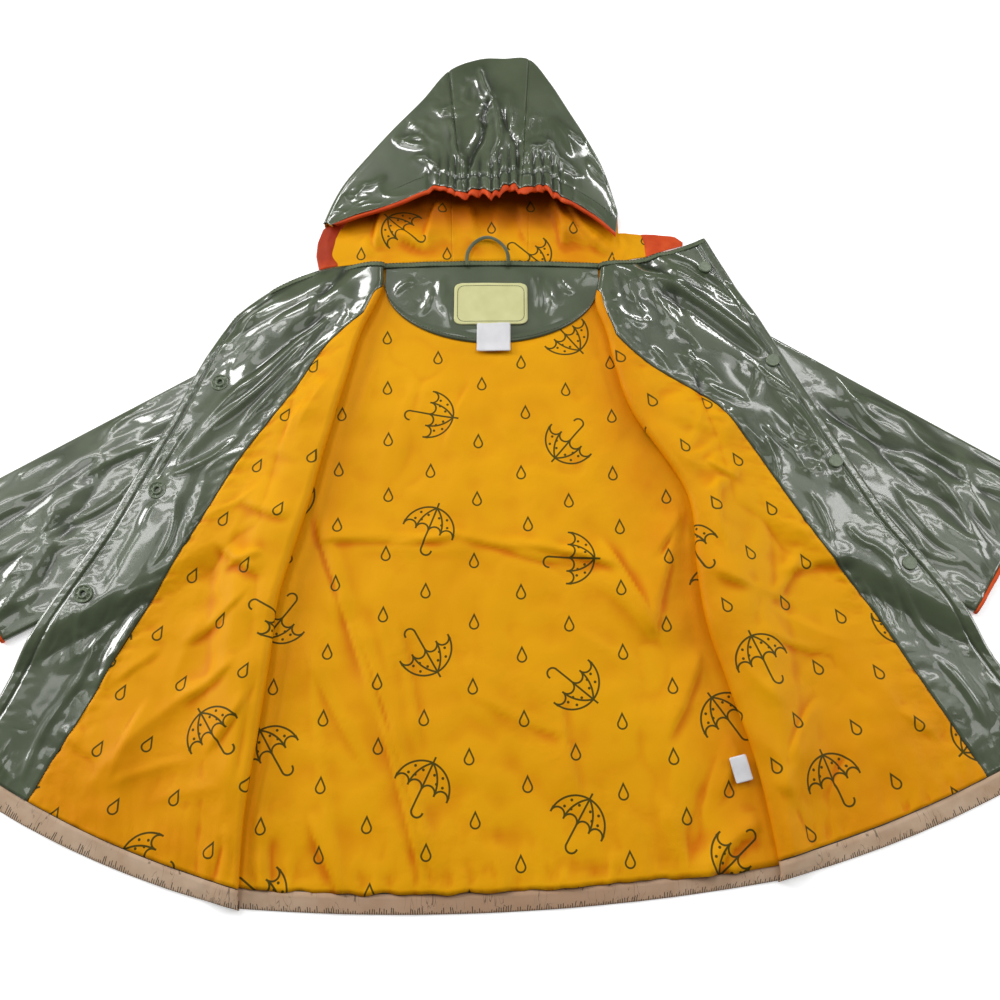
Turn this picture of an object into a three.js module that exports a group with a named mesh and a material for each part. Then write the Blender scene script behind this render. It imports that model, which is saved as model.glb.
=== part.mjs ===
// A child's hooded raincoat, lying open on its back with both fronts turned out over the sleeves.
// Millimetres. +X is the wearer's left, +Y runs to the hood, +Z is up from the surface it lies on.
import * as THREE from "three";

// Cloth and seams
const WALL = 1.0;
const GAP = 0.3;
const HALF_GAP = GAP / 2;
const LAYER = WALL + GAP;
const MIDDLE = WALL + HALF_GAP;

// The tables' places are measured from a point on the lining below the chest.
const DATUM_X = -7;
const DATUM_Y = 68;

// Colours
const OLIVE = 0x59684b;
const YELLOW = 0xe9a01c;
const SAND = 0xc3a98b;
const RED_ORANGE = 0xdc5424;
const PALE_YELLOW = 0xe6e29b;
const WHITE = 0xefeff2;

const coat = new THREE.Group();
coat.position.set(-DATUM_X, -DATUM_Y, 0);

const { lerp, clamp, smoothstep, degToRad } = THREE.MathUtils;

// A table's rows become objects with the columns' names.
function table(columns, rows) {
  return rows.map((row) => Object.fromEntries(columns.map((name, i) => [name, row[i]])));
}

// A smooth curve through one column of a table, at a row number that may lie between two rows.
function through(rows, key, at) {
  const i = clamp(Math.floor(at), 0, rows.length - 2);
  const t = at - i;
  const here = rows[i][key];
  const next = rows[i + 1][key];
  const before = i > 0 ? rows[i - 1][key] : 2 * here - next;
  const after = i + 2 < rows.length ? rows[i + 2][key] : 2 * next - here;
  const slopeHere = (next - before) / 2;
  const slopeNext = (after - here) / 2;
  const rise = next - here;
  const a = slopeHere + slopeNext - 2 * rise;
  const b = 3 * rise - 2 * slopeHere - slopeNext;
  return ((a * t + b) * t + slopeHere) * t + here;
}

function rowAt(rows, at) {
  return Object.fromEntries(Object.keys(rows[0]).map((key) => [key, through(rows, key, at)]));
}

// Numbers from first to last in equal steps.
function steps(first, last, count) {
  return Array.from({ length: count + 1 }, (_, i) => lerp(first, last, i / count));
}

// Long soft folds: ridges from one place to another that fade at both ends.
function ridges(folds, x, y) {
  let height = 0;
  for (const fold of folds) {
    const run = new THREE.Vector2(fold.toX - fold.x, fold.toY - fold.y);
    const length = run.length();
    run.divideScalar(length);
    const along = (x - fold.x) * run.x + (y - fold.y) * run.y;
    const across = (x - fold.x) * run.y - (y - fold.y) * run.x;
    const ends = smoothstep(along, 0, length / 4) * (1 - smoothstep(along, (3 * length) / 4, length));
    const side = across / fold.width;
    height = Math.max(height, (fold.height * ends) / (1 + side * side * side * side));
  }
  return height;
}

// A closed body from two like grids of points, its two faces. A round grid joins its last column to
// its first.
function bodyBetween(lower, upper, round = false) {
  const rows = lower.length;
  const columns = lower[0].length;
  const positions = [];
  for (const grid of [lower, upper]) {
    for (const row of grid) {
      for (const point of row) positions.push(point.x, point.y, point.z);
    }
  }
  const index = [];
  const number = (face, i, j) => face * rows * columns + i * columns + (j % columns);
  const quad = (a, b, c, d) => index.push(a, b, c, a, c, d);
  const across = round ? columns : columns - 1;
  for (let i = 0; i < rows - 1; i += 1) {
    for (let j = 0; j < across; j += 1) {
      quad(number(0, i, j), number(0, i, j + 1), number(0, i + 1, j + 1), number(0, i + 1, j));
      quad(number(1, i, j), number(1, i + 1, j), number(1, i + 1, j + 1), number(1, i, j + 1));
    }
  }
  for (let j = 0; j < across; j += 1) {
    const end = rows - 1;
    quad(number(0, 0, j), number(1, 0, j), number(1, 0, j + 1), number(0, 0, j + 1));
    quad(number(0, end, j), number(0, end, j + 1), number(1, end, j + 1), number(1, end, j));
  }
  for (let i = 0; !round && i < rows - 1; i += 1) {
    const end = columns - 1;
    quad(number(0, i, 0), number(0, i + 1, 0), number(1, i + 1, 0), number(1, i, 0));
    quad(number(0, i, end), number(1, i, end), number(1, i + 1, end), number(0, i + 1, end));
  }
  const geometry = new THREE.BufferGeometry();
  geometry.setAttribute("position", new THREE.Float32BufferAttribute(positions, 3));
  geometry.setIndex(index);
  return facingOut(geometry);
}

// Turns a closed body's triangles round where they face inwards.
function facingOut(geometry) {
  const place = geometry.getAttribute("position");
  const order = geometry.getIndex().array;
  const corners = [new THREE.Vector3(), new THREE.Vector3(), new THREE.Vector3()];
  let volume = 0;
  for (let i = 0; i < order.length; i += 3) {
    corners.forEach((corner, k) => corner.fromBufferAttribute(place, order[i + k]));
    volume += corners[0].dot(corners[1].cross(corners[2]));
  }
  for (let i = 0; volume < 0 && i < order.length; i += 3) {
    [order[i + 1], order[i + 2]] = [order[i + 2], order[i + 1]];
  }
  return geometry;
}

// A wall of cloth: pointAt(row, column, offset) gives a place, moved out from the cloth's middle line.
function wall(pointAt, rows, columns, from, to, round = false) {
  const grid = (offset) => rows.map((row) => columns.map((column) => pointAt(row, column, offset)));
  return bodyBetween(grid(from), grid(to), round);
}

function piece(name, geometry, colour, roughness, metalness = 0) {
  const finish = new THREE.MeshStandardMaterial({ color: colour, roughness, metalness });
  const mesh = new THREE.Mesh(geometry, finish);
  mesh.name = name;
  coat.add(mesh);
  return mesh;
}

const coated = (name, geometry) => piece(name, geometry, OLIVE, 0.2);
const lining = (name, geometry) => piece(name, geometry, YELLOW, 0.6);
const trim = (name, geometry, colour) => piece(name, geometry, colour, 0.7);

// The fronts. Each is sewn to the back at the shoulder, armhole and side, runs in to a fold over the
// back lining, rolls over there and runs out again to its front edge with its lining up.
// A row gives the fold's inner side, the front edge, how far the row bows to the neck, how far the
// seam with the back lies outside the fold, how wide the facing is and how large the roll is. At the
// neck the facing is as wide as the front.
const FRONT = ["foldX", "foldY", "edgeX", "edgeY", "bow", "seam", "facing", "roll"];
const FOLD = ["x", "y", "toX", "toY", "height", "width"];
const NECK_ROW = 0;
const SHOULDER_ROW = 3;
const UNDERARM_ROW = 7;
const BAND_ROW = 12;
const HEM_ROW = 13;

const rightFront = {
  rows: table(FRONT, [
    [-102, 219, -228, 169, 17, 5.0, 158, 2.0],
    [-102, 211, -233, 162, 14, 15, 158, 2.2],
    [-102, 199, -240, 150, 8, 38, 158, 2.5],
    [-106, 183, -247, 132, 5, 70, 158, 3.0],
    [-120, 148, -260, 101, 0, 51, 120, 3.5],
    [-129, 109, -273, 68, 0, 39, 105, 4.0],
    [-143, 48, -296, 17, 0, 32, 85, 4.5],
    [-155, -10, -318, -32, 0, 48, 78, 5.0],
    [-172, -80, -347, -84, 0, 31, 75, 5.0],
    [-176, -135, -366, -122, 0, 24, 72, 4.5],
    [-181, -190, -381, -160, -3, 17, 66, 4.0],
    [-186, -245, -394, -186, -7, 10, 63, 3.2],
    [-186, -296, -403, -205, -9, 6.3, 63, 2.2],
    [-185, -309, -409, -218, -10, 5.3, 63, 1.6],
  ]),
  sleeve: { cuffTopX: -455, cuffTopY: -11, cuffLowX: -384, cuffLowY: -117 },
  sleeveFolds: table(FOLD, [
    [-280, 85, -450, -40, 2.2, 12],
    [-330, 20, -430, -75, 2.0, 10],
    [-345, -20, -400, -100, 1.8, 9],
  ]),
  folds: table(FOLD, [
    [-150, 60, -215, -120, 2.4, 16],
    [-190, -60, -235, -260, 2.2, 15],
    [-240, 60, -330, -150, 1.6, 12],
    [-205, 120, -275, 20, 2.0, 12],
    [-136, 214, -238, 152, 4.0, 9],
    [-118, 196, -200, 150, 2.2, 10],
    [-270, -150, -300, -270, 1.8, 14],
  ]),
};

const leftFront = {
  rows: table(FRONT, [
    [88, 219, 183, 248, -4, 5.0, 130, 2.0],
    [88, 211, 186.5, 241, -4, 17, 130, 2.2],
    [86, 198, 192, 229, -2, 39, 130, 2.5],
    [83, 178, 206, 200, 0, 83, 130, 3.0],
    [92, 148, 222, 165, 0, 69, 126, 3.5],
    [98, 116, 240, 128, 0, 60, 114, 4.0],
    [111, 74, 261, 82, 0, 50, 77, 4.0],
    [151, 4, 304, -4, 0, 50, 71, 4.5],
    [155, -60, 333, -46, 0, 47, 69, 5.0],
    [160, -105, 358, -84, 0, 42, 67, 5.0],
    [172, -148, 377, -123, 0, 31, 64, 4.5],
    [190, -212, 400, -160, -3, 15, 63, 3.5],
    [200, -277, 418, -190, -7, 6.3, 63, 2.2],
    [199, -290, 424, -202, -8, 5.5, 63, 1.6],
  ]),
  sleeve: { cuffTopX: 444, cuffTopY: 12, cuffLowX: 371, cuffLowY: -94 },
  sleeveFolds: table(FOLD, [
    [265, 105, 440, -10, 2.2, 12],
    [315, 45, 425, -35, 2.0, 10],
    [330, 5, 395, -75, 1.8, 9],
  ]),
  folds: table(FOLD, [
    [130, 80, 205, 60, 3.0, 12],
    [165, 0, 200, -150, 2.2, 15],
    [185, -70, 240, -240, 2.4, 16],
    [225, 130, 310, -30, 1.8, 12],
    [100, 190, 185, 215, 2.0, 12],
    [270, -120, 310, -235, 1.8, 14],
  ]),
};

// Layers over one another: the back's two, then the fronts' lower leg, which is lining under shell.
const LINING_TOP = WALL + LAYER;
const LEG_MIDDLE = LINING_TOP + GAP + MIDDLE;
const LEG_TOP = LEG_MIDDLE + MIDDLE;
const RELAX = 55;
const DRAPE = 24;

// A row of a front in plan: where it starts, which way it runs and where its seam and facing lie.
function planRow(front, at) {
  const row = rowAt(front.rows, at);
  const start = new THREE.Vector2(row.foldX, row.foldY);
  const out = new THREE.Vector2(row.edgeX - row.foldX, row.edgeY - row.foldY);
  const length = out.length();
  out.divideScalar(length);
  const up = new THREE.Vector2(-out.y, out.x).multiplyScalar(Math.sign(out.x));
  const centre = row.roll + MIDDLE;
  const facing = clamp(length - row.facing, centre + 2, length - 20);
  return { ...row, start, out, up, length, centre, facing };
}

function planPoint(row, along) {
  const t = along / row.length;
  return row.start
    .clone()
    .addScaledVector(row.out, along)
    .addScaledVector(row.up, row.bow * 4 * t * (1 - t));
}

const seamPoint = (front, at) => {
  const row = planRow(front, at);
  return planPoint(row, row.seam);
};

// The sleeves: open tubes laid flat, from the armhole to the cuff.
const SLEEVE_TOP = LEG_TOP;
const CUFF_RISE = 1.0;
const CUFF_BINDING = 3.2;

// A place in a sleeve's plan: along it from 0 at the armhole to 1 at the cuff, and over it from 0 at
// its upper edge to 1 at its lower edge.
function sleevePlan(front, along, over) {
  const { cuffTopX, cuffTopY, cuffLowX, cuffLowY } = front.sleeve;
  const top = seamPoint(front, SHOULDER_ROW);
  const low = seamPoint(front, UNDERARM_ROW);
  const armhole = top.clone().lerp(low, over);
  const cuff = new THREE.Vector2(lerp(cuffTopX, cuffLowX, over), lerp(cuffTopY, cuffLowY, over));
  const curve = seamPoint(front, lerp(SHOULDER_ROW, UNDERARM_ROW, over)).sub(armhole);
  const gap = new THREE.Vector2(Math.sign(cuffTopX) * GAP, 0).add(curve);
  return armhole.lerp(cuff, along).addScaledVector(gap, (1 - along) * (1 - along));
}

// How far a place lies outside a sleeve's plan. It is negative inside.
function outsideSleeve(front, x, y) {
  const corners = [sleevePlan(front, 0, 0), sleevePlan(front, 1, 0), sleevePlan(front, 1, 1)];
  corners.push(sleevePlan(front, 0, 1));
  const turn = -Math.sign(front.sleeve.cuffTopX);
  let most = -Infinity;
  corners.forEach((corner, i) => {
    const edge = corners[(i + 1) % 4].clone().sub(corner).normalize();
    const out = ((x - corner.x) * edge.y - (y - corner.y) * edge.x) * turn;
    most = Math.max(most, out);
  });
  return most;
}

// The height that holds a front up: its own lower leg, then the sleeve, then the bare surface.
function support(front, row, along, x, y) {
  const leg = LEG_TOP * (1 - smoothstep(along, row.seam + 2, row.seam + 2 + DRAPE));
  const outside = outsideSleeve(front, x, y);
  const sleeve = (SLEEVE_TOP + CUFF_RISE + GAP) * (1 - smoothstep(outside, 5, 5 + DRAPE));
  return Math.max(leg, sleeve);
}

function topHeight(front, row, along) {
  const rest = (at) => {
    const place = planPoint(row, at);
    const lies = support(front, row, at, place.x, place.y);
    return lies + GAP * smoothstep(lies, 0, 1) + MIDDLE;
  };
  const rolled = LEG_MIDDLE + 2 * row.roll - rest(row.centre);
  const place = planPoint(row, along);
  const folded = ridges(front.folds, place.x, place.y) * smoothstep(along, row.centre, row.centre + 30);
  return rest(along) + rolled * (1 - smoothstep(along, row.centre, row.centre + RELAX)) + folded;
}

// Columns of a front: 0 to 1 runs from the seam to the roll, 1 to 2 round it, 2 to 3 out to the facing
// and 3 to 4 across the facing to the front edge. Each may be shifted by a part of a seam's gap.
const column = (at, shift = 0) => ({ at, shift });
const LEG_COLUMNS = steps(0, 1, 2).map((at) => column(at));
const ROLL_COLUMNS = steps(1.2, 2, 4).map((at) => column(at));
const LINING_COLUMNS = steps(2.2, 2.8, 3).map((at) => column(at));
const FACING_COLUMNS = steps(3.25, 4, 3).map((at) => column(at));

function frontPoint(front) {
  const known = new Map();
  return (at, { at: place, shift }, offset) => {
    if (!known.has(at)) known.set(at, planRow(front, at));
    const row = known.get(at);
    let along = lerp(row.seam, row.centre, clamp(place, 0, 1));
    let height = LEG_MIDDLE;
    let heading = Math.PI;
    if (place > 1 && place < 2) {
      heading = Math.PI * (2 - place);
      along = row.centre - row.roll * Math.sin(heading);
      height = LEG_MIDDLE + row.roll * (1 + Math.cos(heading));
    }
    if (place >= 2) {
      const before = lerp(row.centre, row.facing, clamp(place - 2, 0, 1));
      const beyond = (row.length - row.facing) * clamp(place - 3, 0, 1);
      along = before + beyond + shift;
      height = topHeight(front, row, along);
      heading = Math.atan((topHeight(front, row, along + 1) - topHeight(front, row, along - 1)) / 2);
      if (place === 2) heading = 0;
    }
    const flat = planPoint(row, along).addScaledVector(row.out, -Math.sin(heading) * offset);
    return new THREE.Vector3(flat.x, flat.y, height + Math.cos(heading) * offset);
  };
}

// Rows that a front's walls are built on, and the ends of those above the hem band. The neck tape's
// lower edge lies on one of them.
const BAND_GAP_ROWS = 0.012;
const TAPE_ROW = 0.62;
const UPPER_ROWS = [0, TAPE_ROW, 1, 2, ...steps(SHOULDER_ROW, UNDERARM_ROW, 8), 7.5, 8, 9, 10, 11];
const ABOVE_BAND = [...UPPER_ROWS, BAND_ROW - BAND_GAP_ROWS];
const BAND_ROWS = [BAND_ROW + BAND_GAP_ROWS, HEM_ROW];

const facings = {};
for (const [side, front] of [
  ["right", rightFront],
  ["left", leftFront],
]) {
  const point = frontPoint(front);
  const toFacing = [...LEG_COLUMNS, ...ROLL_COLUMNS, ...LINING_COLUMNS];
  const whole = [...toFacing, column(3), ...FACING_COLUMNS];
  const shellRows = [...UPPER_ROWS, BAND_ROW, HEM_ROW];
  coated(`front_${side}_shell`, wall(point, shellRows, whole, -MIDDLE, -HALF_GAP));
  const lined = [...toFacing, column(3, -HALF_GAP)];
  lining(`front_${side}_lining`, wall(point, ABOVE_BAND, lined, HALF_GAP, MIDDLE));
  const faced = [column(3, HALF_GAP), ...FACING_COLUMNS];
  facings[side] = coated(`front_${side}_facing`, wall(point, ABOVE_BAND, faced, HALF_GAP, MIDDLE));
  trim(`hem_band_${side}`, wall(point, BAND_ROWS, whole, HALF_GAP, MIDDLE), SAND);
}

// The back, from the left front's seams to the right front's, with the neck and hem curves.
const NECK_BOW = 3;
const HEM_BOW = -12;

function backPlan(at, across) {
  const bow = NECK_BOW * (1 - smoothstep(at, 0, 2)) + HEM_BOW * smoothstep(at, 8, BAND_ROW);
  const place = seamPoint(rightFront, at).lerp(seamPoint(leftFront, at), across);
  place.y += bow * 4 * across * (1 - across);
  return place;
}

// The fold line's place at a height on the back.
function foldAt(front, y) {
  const rows = front.rows;
  let i = 0;
  while (i < rows.length - 2 && rows[i + 1].foldY > y) i += 1;
  const t = clamp((rows[i].foldY - y) / (rows[i].foldY - rows[i + 1].foldY), 0, 1);
  return lerp(rows[i].foldX, rows[i + 1].foldX, t);
}

const BACK_FOLDS = table(FOLD, [
  [-152, 0, -118, -110, 3.0, 9],
  [-118, -90, -50, -290, 3.4, 9],
  [-125, -36, -10, -40, 2.2, 8],
  [0, -36, 80, -55, 2.0, 8],
  [70, -55, 150, -125, 2.4, 9],
  [-60, 120, -95, 20, 2.0, 10],
  [40, 110, 90, 10, 2.0, 10],
  [150, -180, 120, -270, 2.4, 10],
  [-30, -150, 60, -230, 1.8, 12],
]);
const FOLD_CLEAR = 4;
const FOLD_FADE = 16;

function backPoint(folds) {
  return (at, across, height) => {
    const place = backPlan(at, across);
    const fromRight = place.x - foldAt(rightFront, place.y);
    const fromLeft = foldAt(leftFront, place.y) - place.x;
    const clear = Math.min(fromRight, fromLeft) - FOLD_CLEAR;
    const lift = ridges(folds, place.x, place.y) * smoothstep(clear, 0, FOLD_FADE);
    return new THREE.Vector3(place.x, place.y, height + lift);
  };
}

const BACK_COLUMNS = steps(0, 1, 16);
const FLAT_COLUMNS = steps(0, 1, 6);
const LINING_ROWS = [0, 1.5, 3, 4, 5, 6, ...steps(6.5, 11.5, 10), BAND_ROW - BAND_GAP_ROWS];
const SHELL_ROWS = [0, 1, 2, ...steps(SHOULDER_ROW, UNDERARM_ROW, 8), 8, 9, 10, 11, BAND_ROW, HEM_ROW];
coated("back_shell", wall(backPoint([]), SHELL_ROWS, FLAT_COLUMNS, 0, WALL));
lining("back_lining", wall(backPoint(BACK_FOLDS), LINING_ROWS, BACK_COLUMNS, LAYER, LINING_TOP));
trim("hem_band_back", wall(backPoint([]), BAND_ROWS, FLAT_COLUMNS, LAYER, LINING_TOP), SAND);

// The neck seam in plan, from the right front's neck edge over the back's neck to the left front's.
const HOOD_END_RIGHT = 64;
const HOOD_END_LEFT = 80;

function neckSeam() {
  const right = planRow(rightFront, NECK_ROW);
  const left = planRow(leftFront, NECK_ROW);
  return [
    ...steps(HOOD_END_RIGHT, right.seam, 8).map((along) => planPoint(right, along)),
    ...steps(0.1, 0.9, 8).map((across) => backPlan(NECK_ROW, across)),
    ...steps(left.seam, HOOD_END_LEFT, 8).map((along) => planPoint(left, along)),
  ];
}

const NECK_SEAM = neckSeam();

function neckY(x) {
  let i = 0;
  while (i < NECK_SEAM.length - 2 && NECK_SEAM[i + 1].x < x) i += 1;
  const from = NECK_SEAM[i];
  const to = NECK_SEAM[i + 1];
  return lerp(from.y, to.y, (x - from.x) / (to.x - from.x));
}

// The back neck facing: a half moon on the lining, under the neck seam and between the two folds.
const FACING_CENTRE_X = -10.5;
const FACING_CENTRE_Y = 200;
const FACING_HALF_WIDTH = 91;
const FACING_DEPTH = 58;
const FACING_BOTTOM = LINING_TOP + GAP;
const FACING_TOP = FACING_BOTTOM + WALL;

function neckFacingPoint(down, turn, height) {
  const x = FACING_CENTRE_X - FACING_HALF_WIDTH * Math.cos(turn);
  const low = FACING_CENTRE_Y - FACING_DEPTH * Math.sin(turn);
  return new THREE.Vector3(x, lerp(neckY(x), low, down), height);
}
coated(
  "neck_facing",
  wall(neckFacingPoint, [0, 0.5, 1], steps(0, Math.PI, 16), FACING_BOTTOM, FACING_TOP),
);

// The sleeves' walls, as a ring that runs along the lower wall and back over the upper one.
const SLEEVE_STATIONS = [0, 0.08, 0.2, 0.45, 0.7, 1];
const RING_ACROSS = 8;
const EDGE_TURNS = [30, 90, 150];

function sleevePoint(front) {
  const lowWall = steps(0, 1, RING_ACROSS).map((over) => ({ over, turn: 0 }));
  const lowEdge = EDGE_TURNS.map((turn) => ({ over: 1, turn }));
  const highWall = steps(1, 0, RING_ACROSS).map((over) => ({ over, turn: 180 }));
  const topEdge = EDGE_TURNS.map((turn) => ({ over: 0, turn: 180 - turn }));
  const ring = [...lowWall, ...lowEdge, ...highWall, ...topEdge];
  const point = (along, { over, turn }, offset) => {
    const top = sleevePlan(front, along, 0);
    const low = sleevePlan(front, along, 1);
    const across = low.clone().sub(top).normalize();
    const radius = (LEG_MIDDLE + HALF_GAP + CUFF_RISE * along) / 2;
    const inset = over === 0 ? radius : over === 1 ? -radius : 0;
    const place = sleevePlan(front, along, over).addScaledVector(across, inset);
    const angle = degToRad(turn);
    const side = over > 0.5 ? 1 : -1;
    place.addScaledVector(across, side * Math.sin(angle) * (radius + offset));
    const inner = smoothstep(over, 0, 0.2) * (1 - smoothstep(over, 0.8, 1));
    const lift = turn === 180 ? inner * ridges(front.sleeveFolds, place.x, place.y) : 0;
    const middle = radius + WALL / 2 + lift;
    return new THREE.Vector3(place.x, place.y, middle - Math.cos(angle) * (radius + offset));
  };
  return { ring, point };
}

for (const [side, front] of [
  ["right", rightFront],
  ["left", leftFront],
]) {
  const { ring, point } = sleevePoint(front);
  const half = WALL / 2;
  const length = sleevePlan(front, 0, 0).distanceTo(sleevePlan(front, 1, 0));
  const cuff = (beyond) => 1 + beyond / length;
  coated(`sleeve_${side}`, wall(point, SLEEVE_STATIONS, ring, -half, half, true));
  const bound = [cuff(GAP), cuff(GAP + CUFF_BINDING)];
  trim(`cuff_binding_${side}`, wall(point, bound, ring, -half, half, true), RED_ORANGE);
}

// The hood lies on its back: from the neck seam up to its crown on the surface, then rolled over and
// back down to the brim, which stands up in an arch and is gathered in the middle.
const HOOD = table(
  ["neckX", "topX", "topY", "brimX", "brimY", "rise", "gather"],
  [
    [-147, -158, 262, -150, 256, 10, 0],
    [-136, -150, 286, -130, 264, 12, 0],
    [-120, -140, 307, -109, 270, 14, 0],
    [-102, -123, 332, -89, 277, 16, 0],
    [-82, -100, 364, -68, 286, 18, 0],
    [-62, -73, 398, -50, 288, 20, 0.4],
    [-42, -49, 432, -33, 283, 22, 1],
    [-20, -20, 446, -14, 283, 23, 1],
    [3, 4, 447, 3, 284, 23, 1],
    [25, 28, 446, 19, 286, 23, 1],
    [45, 47, 419, 38, 288, 21, 1],
    [63, 64, 386, 56, 280, 19, 0.4],
    [80, 80, 354, 72, 271, 16, 0],
    [94, 95, 318, 88, 261, 13, 0],
    [106, 106, 273, 103, 248, 10, 0],
  ],
);
const HOOD_ROLL = 3.2;
const HOOD_LOW = MIDDLE;
const HOOD_HIGH = HOOD_LOW + 2 * HOOD_ROLL;
const GATHER_HEIGHT = 2.6;
const GATHER_REACH = 4.5;
const SEAM_RIGHT = 6;
const SEAM_LEFT = 9;
const BRIM_BINDING = 3.5;
const HOOD_GAP = 0.5;

// Rows of the hood run from its neck seam at 0 to the crown at 1, round the roll to 2 and on to the
// brim at 3. Its columns are the table's rows.
function hoodPoint(column, { at, beyond = 0 }, offset) {
  const row = rowAt(HOOD, column);
  const neck = new THREE.Vector2(row.neckX, neckY(row.neckX) + HOOD_GAP);
  const crown = new THREE.Vector2(row.topX, row.topY);
  const out = crown.clone().sub(neck).normalize();
  crown.addScaledVector(out, -HOOD_ROLL - MIDDLE);
  const wave = Math.cos(2 * Math.PI * column) * row.gather;
  const back = new THREE.Vector2(row.brimX, row.brimY).sub(crown);
  const length = back.length();
  back.divideScalar(length);
  let place = neck.clone().lerp(crown, clamp(at, 0, 1));
  let height = HOOD_LOW;
  let heading = 0;
  let direction = out;
  if (at > 1) {
    heading = Math.PI * Math.min(at - 1, 1);
    const swing = HOOD_ROLL * Math.sin(heading);
    height = HOOD_LOW + HOOD_ROLL * (1 - Math.cos(heading));
    place = crown.clone().addScaledVector(out, at < 1.5 ? swing : HOOD_ROLL);
    if (at >= 1.5) {
      place.addScaledVector(back, HOOD_ROLL - swing);
      direction = back.clone().negate();
    }
  }
  if (at > 2) {
    const t = at - 2;
    const lift = (s) => (row.rise - HOOD_HIGH) * s ** 1.7 + GATHER_HEIGHT * wave * s ** 5;
    const run = HOOD_ROLL + (length - HOOD_ROLL + GATHER_REACH * wave) * t + beyond;
    place = crown.clone().addScaledVector(out, HOOD_ROLL * (1 - t)).addScaledVector(back, run);
    height = HOOD_HIGH + lift(t) + ((lift(1) - lift(0.99)) / (0.01 * length)) * beyond;
    heading = Math.PI - Math.atan((lift(t + 0.01) - lift(t - 0.01)) / (0.02 * length));
    if (t < 0.02) heading = Math.PI;
  }
  place.addScaledVector(direction, -Math.sin(heading) * offset);
  return new THREE.Vector3(place.x, place.y, height + Math.cos(heading) * offset);
}

const hoodStation = (at, beyond = 0) => ({ at, beyond });
const HOOD_STATIONS = [0, 1, 1.25, 1.5, 1.75, 2, 2.3, 2.6, 2.8, 3].map((at) => hoodStation(at));
const BINDING_STATIONS = [hoodStation(3, GAP), hoodStation(3, GAP + BRIM_BINDING)];
const SEAM_COLUMNS = 0.008;
const quarters = (first, last) => steps(first, last, Math.round((last - first) * 4));
const hoodColumns = {
  right: [...steps(0, 4, 4), 5, 5.5, SEAM_RIGHT - SEAM_COLUMNS],
  centre: [SEAM_RIGHT + SEAM_COLUMNS, ...quarters(6.25, 8.75), SEAM_LEFT - SEAM_COLUMNS],
  left: [SEAM_LEFT + SEAM_COLUMNS, 9.25, 9.5, 9.75, 10, 10.25, 10.5, 11, 12, 13, 14],
};
const HOOD_SHELLS = { right: "hood_side_right", centre: "hood_centre", left: "hood_side_left" };
for (const [side, columns] of Object.entries(hoodColumns)) {
  coated(HOOD_SHELLS[side], wall(hoodPoint, columns, HOOD_STATIONS, -MIDDLE, -HALF_GAP));
  lining(`hood_lining_${side}`, wall(hoodPoint, columns, HOOD_STATIONS, HALF_GAP, MIDDLE));
}
const BRIM_COLUMNS = [...steps(0, 5, 5), 5.5, ...quarters(6, 10.5), 11, 12, 13, 14];
trim("hood_binding", wall(hoodPoint, BRIM_COLUMNS, BINDING_STATIONS, -MIDDLE, MIDDLE), RED_ORANGE);

// The two ends of the hood's edge facing, flat beside the hood's first and last columns. A row gives
// the inner side and the outer side at one height; the lowest row follows the neck seam.
function flatStrip(rows, low, high) {
  const point = (at, across, height) => {
    const row = rows[at];
    const x = lerp(row.innerX, row.outerX, across);
    const y = at === 0 ? neckY(x) + HOOD_GAP : lerp(row.innerY, row.outerY, across);
    return new THREE.Vector3(x, y, height);
  };
  return wall(point, steps(0, rows.length - 1, rows.length - 1), [0, 0.5, 1], low, high);
}
const STRIP = ["innerX", "innerY", "outerX", "outerY"];
const RIGHT_STRIP = table(STRIP, [
  [-148, 0, -160, 0],
  [-151.4, 232, -163.5, 229],
  [-155.4, 246, -163, 243],
  [-158.6, 256, -161.5, 254],
]);
const LEFT_STRIP = table(STRIP, [
  [107.2, 0, 163, 0],
  [107.6, 238, 163.5, 243.5],
  [112, 252, 157, 249],
]);
trim("hood_facing_right", flatStrip(RIGHT_STRIP, 0, LINING_TOP), RED_ORANGE);
trim("hood_facing_left", flatStrip(LEFT_STRIP, 0, LINING_TOP), RED_ORANGE);

// The tape that covers the hood's seam, on the neck facing and on both fronts' neck edges.
const TAPE_WIDTH = 5;
const TAPE_ROWS = [0, TAPE_ROW];
const TAPE_LIFT = GAP + MIDDLE;
const backTape = (down, x, height) => new THREE.Vector3(x, neckY(x) - TAPE_WIDTH * down, height);
trim(
  "neck_tape_back",
  wall(backTape, [0, 1], steps(-100.5, 82, 12), FACING_TOP + GAP, FACING_TOP + LAYER),
  OLIVE,
);
// On the right front it stops before the soft corner, where the front edge begins.
const TAPE_END = { right: 3.75, left: 4 };
for (const [side, front] of [
  ["right", rightFront],
  ["left", leftFront],
]) {
  const columns = [column(3, 1), ...FACING_COLUMNS].filter(({ at }) => at <= TAPE_END[side]);
  const tape = wall(frontPoint(front), TAPE_ROWS, columns, TAPE_LIFT, TAPE_LIFT + WALL);
  trim(`neck_tape_${side}`, tape, OLIVE);
}

// The hanger loop: a narrow strap that stands from the neck tape and lies back on the hood's lining.
const LOOP_X = -11;
const LOOP_HALF = 18;
const LOOP_HEIGHT = 27;
const LOOP_STRAP = 3.2;
const LOOP_THICK = 1.4;
const LOOP_ROOT = 3.5;
const LOOP_BOTTOM = FACING_TOP + LAYER + GAP;

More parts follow.
